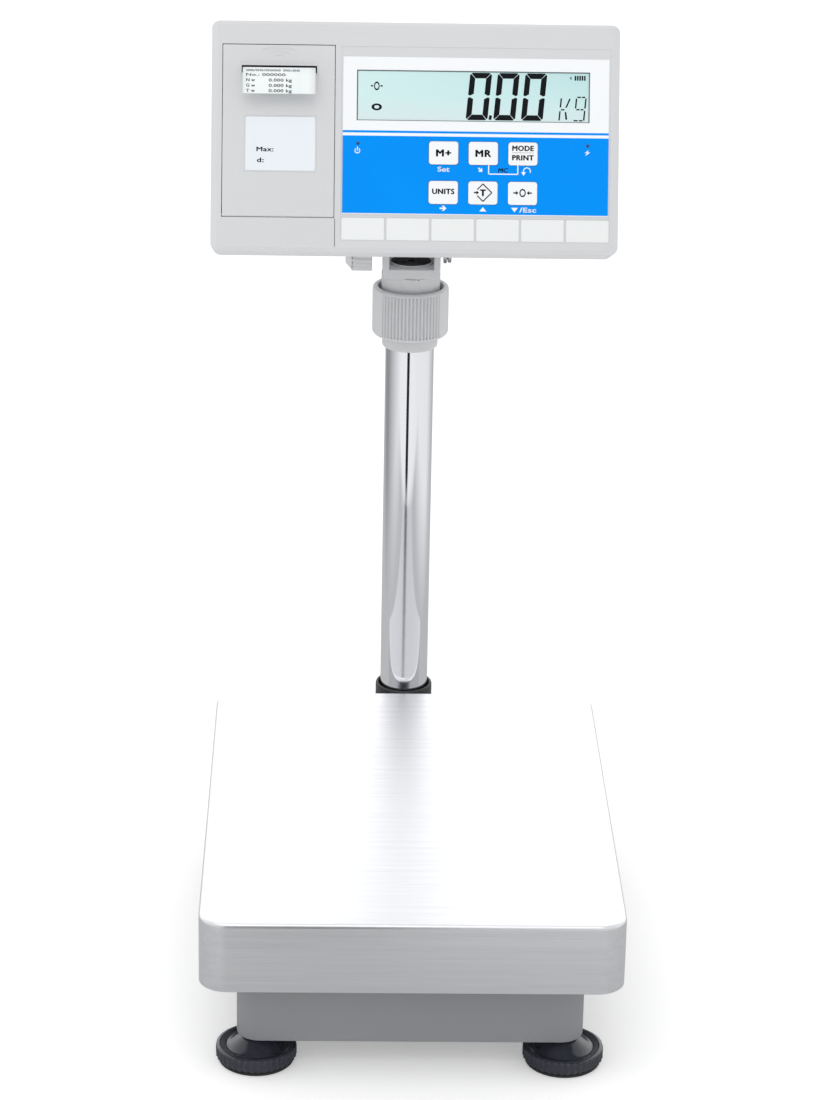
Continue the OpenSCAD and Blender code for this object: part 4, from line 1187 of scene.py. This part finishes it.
class BENCHSCALE_OT_printer(bpy.types.Operator):
    """Printer works behind the door"""
    bl_idname = "benchscale.printer"
    bl_label = "Printer works"

    def execute(self, context):
        for node, edge in (("printer_frame", 0.0004), ("print_head", 0.0003), ("printer_motor", 0.0004),
                           ("motor_pinion", 0.00008)):
            softened(node, edge)
        softened("platen_roller", 0.0001, flat=0.2)
        low, high, points = extent_on_face("paper_roll")
        depth, v = (low.y + high.y) / 2, (low.z + high.z) / 2
        outer, length = (high.z - low.z) / 2, high.x - low.x
        core = min(math.hypot(point.y - depth, point.z - v) for point in points)
        winds = 14
        rings = [(outer - 0.3 - i * (outer - core - 1.4) / winds, length + (0.0 if i % 2 else -0.12))
                 for i in range(winds)]
        roll = lathe([(core, 0), (outer, 0), (outer, length), *rings, (core + 0.9, length), (core, length)],
                     steps=96)
        at = FACE @ Matrix.Translation((low.x, depth, v)) @ Matrix.Rotation(math.pi / 2, 4, "Y")
        piece("paper_roll_wound", roll, "roll", "thermal_paper", at, ("paper_roll",), angle=20)
        return {"FINISHED"}


class BENCHSCALE_OT_boards(bpy.types.Operator):
    """Boards, display module and battery inside the housing"""
    bl_idname = "benchscale.boards"
    bl_label = "Boards and battery"

    def execute(self, context):
        for node in ("display_module", "key_board", "main_board"):
            softened(node, 0.0002)
        softened("battery_pack", 0.0018, steps=4)
        return {"FINISHED"}


class BENCHSCALE_OT_stage(bpy.types.Operator):
    """Pale floor, soft studio light and the camera"""
    bl_idname = "benchscale.stage"
    bl_label = "Stage"

    def execute(self, context):
        scene = context.scene
        scene.view_settings.view_transform = "Standard"
        bm = bmesh.new()
        bmesh.ops.create_grid(bm, x_segments=1, y_segments=1, size=9)
        ground = placed("floor", bm)
        ground.data.materials.append(moulded(
            "floor", (0.93, 0.93, 0.93, 1), 0.985, (3.0, 0.5), (60.0, 0.05, 0.0002), (0.7, 0.1),
            Emission_Color=(1, 1, 1, 1), Emission_Strength=0.32))
        # A black card seen only in reflections: it paints the dark streak reflected down the column
        black = moulded("painted_streak_card", (0.004, 0.004, 0.004, 1), 0.9, rough=(0.9, 0.05))
        self.card("painted_streak_card", (-0.076, -0.56, 0.3), (0.16, 0.56), black)
        # A flat card seen only in reflections, painted with what the polished parts should mirror
        self.card("painted_reflection_floor", (0.0, 0.0, 0.002), (5.0, 5.0), self.painted_reflection_floor(), flat=True)
        self.lamp("key light", (-0.35, -0.75, 2.3), (0.0, 0.05, 0.1), 1.7, 1.3, 9)
        self.sky(scene)
        self.camera(scene)
        return {"FINISHED"}

    def card(self, name, centre, size, shade, flat=False):
        """A studio flag in front of the object, or a flat one under it, seen only in reflections"""
        bm = bmesh.new()
        bmesh.ops.create_grid(bm, x_segments=1, y_segments=1, size=0.5)
        bmesh.ops.scale(bm, vec=(size[0], size[1], 1), verts=bm.verts)
        if not flat:
            bmesh.ops.rotate(bm, cent=(0, 0, 0), matrix=Matrix.Rotation(math.pi / 2, 3, "X"), verts=bm.verts)
        bmesh.ops.translate(bm, vec=centre, verts=bm.verts)
        flag = placed(name, bm)
        flag.data.materials.append(shade)
        for ray in ("camera", "diffuse", "transmission", "volume_scatter", "shadow"):
            setattr(flag, "visible_" + ray, False)

    def painted_reflection_floor(self):
        """Painted reflections that polished parts mirror below them: pale in front, greyer beside and behind,
        darkest near, and a black strip that paints the dark streak on the column
        """
        made, tree, shader, where = started("painted_reflection_floor", Roughness=0.9, Specular_IOR_Level=0.0)
        x, y, z = put(tree, "ShaderNodeSeparateXYZ", {0: where}).outputs
        ahead = maths(tree, "SUBTRACT", COLUMN_Y * MM, y)
        aside = maths(tree, "ABSOLUTE", x, 0.0)
        turned = maths(tree, "ARCTAN2", x, ahead)
        beside = maths(tree, "ADD", spread(tree, turned, -0.7, -2.0), spread(tree, turned, 1.7, 2.9))
        round_back = mixed(tree, beside, (0.96, 0.96, 0.96, 1), (0.33, 0.33, 0.34, 1))
        # Painted reflection: a mid grey close in front, which the pan's skirt mirrors
        close = maths(tree, "MULTIPLY", spread(tree, y, -0.56, -0.46),
                      spread(tree, aside, 0.45, 0.8, 1.0, 0.0))
        near = mixed(tree, close, round_back, (0.57, 0.57, 0.575, 1))
        # Painted reflection: a black strip further in front, which paints the dark streak down the column
        strip = maths(tree, "ABSOLUTE", maths(tree, "ADD", turned, 0.096), 0.0)
        far = maths(tree, "MULTIPLY", spread(tree, strip, 0.06, 0.12, 1.0, 0.0),
                    spread(tree, y, -0.5, -0.6))
        out = grouped(tree, "Surface grain", {
            "Vector": where, "Colour": mixed(tree, far, near, (0.006, 0.006, 0.007, 1)),
            "Second Colour": (0.5, 0.5, 0.5, 1), "Patch Scale": 2.0, "Patch Amount": 0.03,
            "Grain Scale": 20.0, "Roughness": 0.9, "Roughness Spread": 0.02})
        tree.links.new(out["Colour"], shader.inputs["Base Color"])
        return made

    def lamp(self, name, place, towards, wide, tall, power):
        """A soft rectangular light"""
        light = bpy.data.lights.new(name, "AREA")
        light.shape = "RECTANGLE"
        light.size, light.size_y, light.energy = wide, tall, power
        holder = bpy.data.objects.new(name, light)
        holder.location = place
        holder.rotation_euler = (Vector(towards) - Vector(place)).to_track_quat("-Z", "Y").to_euler()
        bpy.context.scene.collection.objects.link(holder)

    def sky(self, scene):
        """Even white, lower at the front near the floor, and brighter behind in mirrored light"""
        world = bpy.data.worlds.new("studio")
        scene.world = world
        world.use_nodes = True
        tree = world.node_tree
        tree.nodes.clear()
        ray = put(tree, "ShaderNodeTexCoord").outputs["Generated"]
        parts = put(tree, "ShaderNodeSeparateXYZ", {0: ray}).outputs
        front = spread(tree, parts[1], -1.0, 0.3, 1.0, 0.0)
        low = spread(tree, parts[2], 0.0, 0.75, 1.0, 0.0)
        back = spread(tree, parts[1], 0.2, 0.7, 0.0, 1.0)
        above = mixed(tree, spread(tree, parts[2], 0.6, 0.95), (1, 1, 1, 1), (0.66, 0.66, 0.66, 1))
        seen_by = put(tree, "ShaderNodeLightPath").outputs
        lifted = maths(tree, "MULTIPLY", back, spread(tree, parts[2], 0.1, 0.3))
        boosted = maths(tree, "MULTIPLY", lifted, seen_by["Is Glossy Ray"])
        behind = mixed(tree, boosted, above, (1.5, 1.5, 1.5, 1))
        lit = mixed(tree, maths(tree, "MULTIPLY", front, low), behind, (0.42, 0.43, 0.44, 1))
        shade = mixed(tree, seen_by["Is Camera Ray"], lit, (1, 1, 1, 1))
        background = put(tree, "ShaderNodeBackground", {"Color": shade, "Strength": 1.0})
        target = tree.nodes.new("ShaderNodeOutputWorld")
        tree.links.new(background.outputs[0], target.inputs["Surface"])

    def camera(self, scene):
        """A long lens in front of the pan, looking a little down"""
        eye = bpy.data.cameras.new("camera")
        eye.sensor_width = 36
        eye.lens = 110.69
        eye.clip_end = 60
        holder = bpy.data.objects.new("camera", eye)
        yaw, pitch, roll = math.radians(1.455), math.radians(21.472), math.radians(1.089)
        turn = (Matrix.Rotation(-yaw, 4, "Z") @ Matrix.Rotation(math.pi / 2 - pitch, 4, "X")
                @ Matrix.Rotation(roll, 4, "Z"))
        holder.matrix_world = Matrix.Translation((-0.0588, -2.2878, 1.2300)) @ turn
        scene.collection.objects.link(holder)
        scene.camera = holder


class BENCHSCALE_settings(bpy.types.PropertyGroup):
    colours: PointerProperty(type=BENCHSCALE_colours, name="Colours",
                             description="Colours of the main finishes")
    sizes: PointerProperty(type=BENCHSCALE_sizes, name="Sizes",
                           description="Sizes of the finishing details")


STEPS = (BENCHSCALE_OT_base, BENCHSCALE_OT_feet, BENCHSCALE_OT_weighing, BENCHSCALE_OT_pan,
         BENCHSCALE_OT_column, BENCHSCALE_OT_collar, BENCHSCALE_OT_tilt, BENCHSCALE_OT_boards,
         BENCHSCALE_OT_housing,
         BENCHSCALE_OT_overlay, BENCHSCALE_OT_display, BENCHSCALE_OT_keys, BENCHSCALE_OT_printer,
         BENCHSCALE_OT_door, BENCHSCALE_OT_stage)


class BENCHSCALE_PT_panel(bpy.types.Panel):
    """Lists the steps that build the bench scale"""
    bl_idname = "BENCHSCALE_PT_panel"
    bl_label = "Bench scale"
    bl_space_type = "VIEW_3D"
    bl_region_type = "UI"
    bl_category = "Bench scale"

    def draw(self, context):
        for group in (context.scene.bench_scale.colours, context.scene.bench_scale.sizes):
            column = self.layout.column()
            for name in group.bl_rna.properties.keys():
                if name not in ("rna_type", "name"):
                    column.prop(group, name)
        for step in STEPS:
            self.layout.operator(step.bl_idname)


CLASSES = (BENCHSCALE_colours, BENCHSCALE_sizes, BENCHSCALE_settings, *STEPS, BENCHSCALE_PT_panel)


def register():
    for made in CLASSES:
        bpy.utils.register_class(made)
    bpy.types.Scene.bench_scale = PointerProperty(type=BENCHSCALE_settings)


def unregister():
    del bpy.types.Scene.bench_scale
    for made in reversed(CLASSES):
        bpy.utils.unregister_class(made)


def main():
    register()
    for step in STEPS:
        group, name = step.bl_idname.split(".")
        getattr(getattr(bpy.ops, group), name)()


if __name__ == "__main__":
    main()
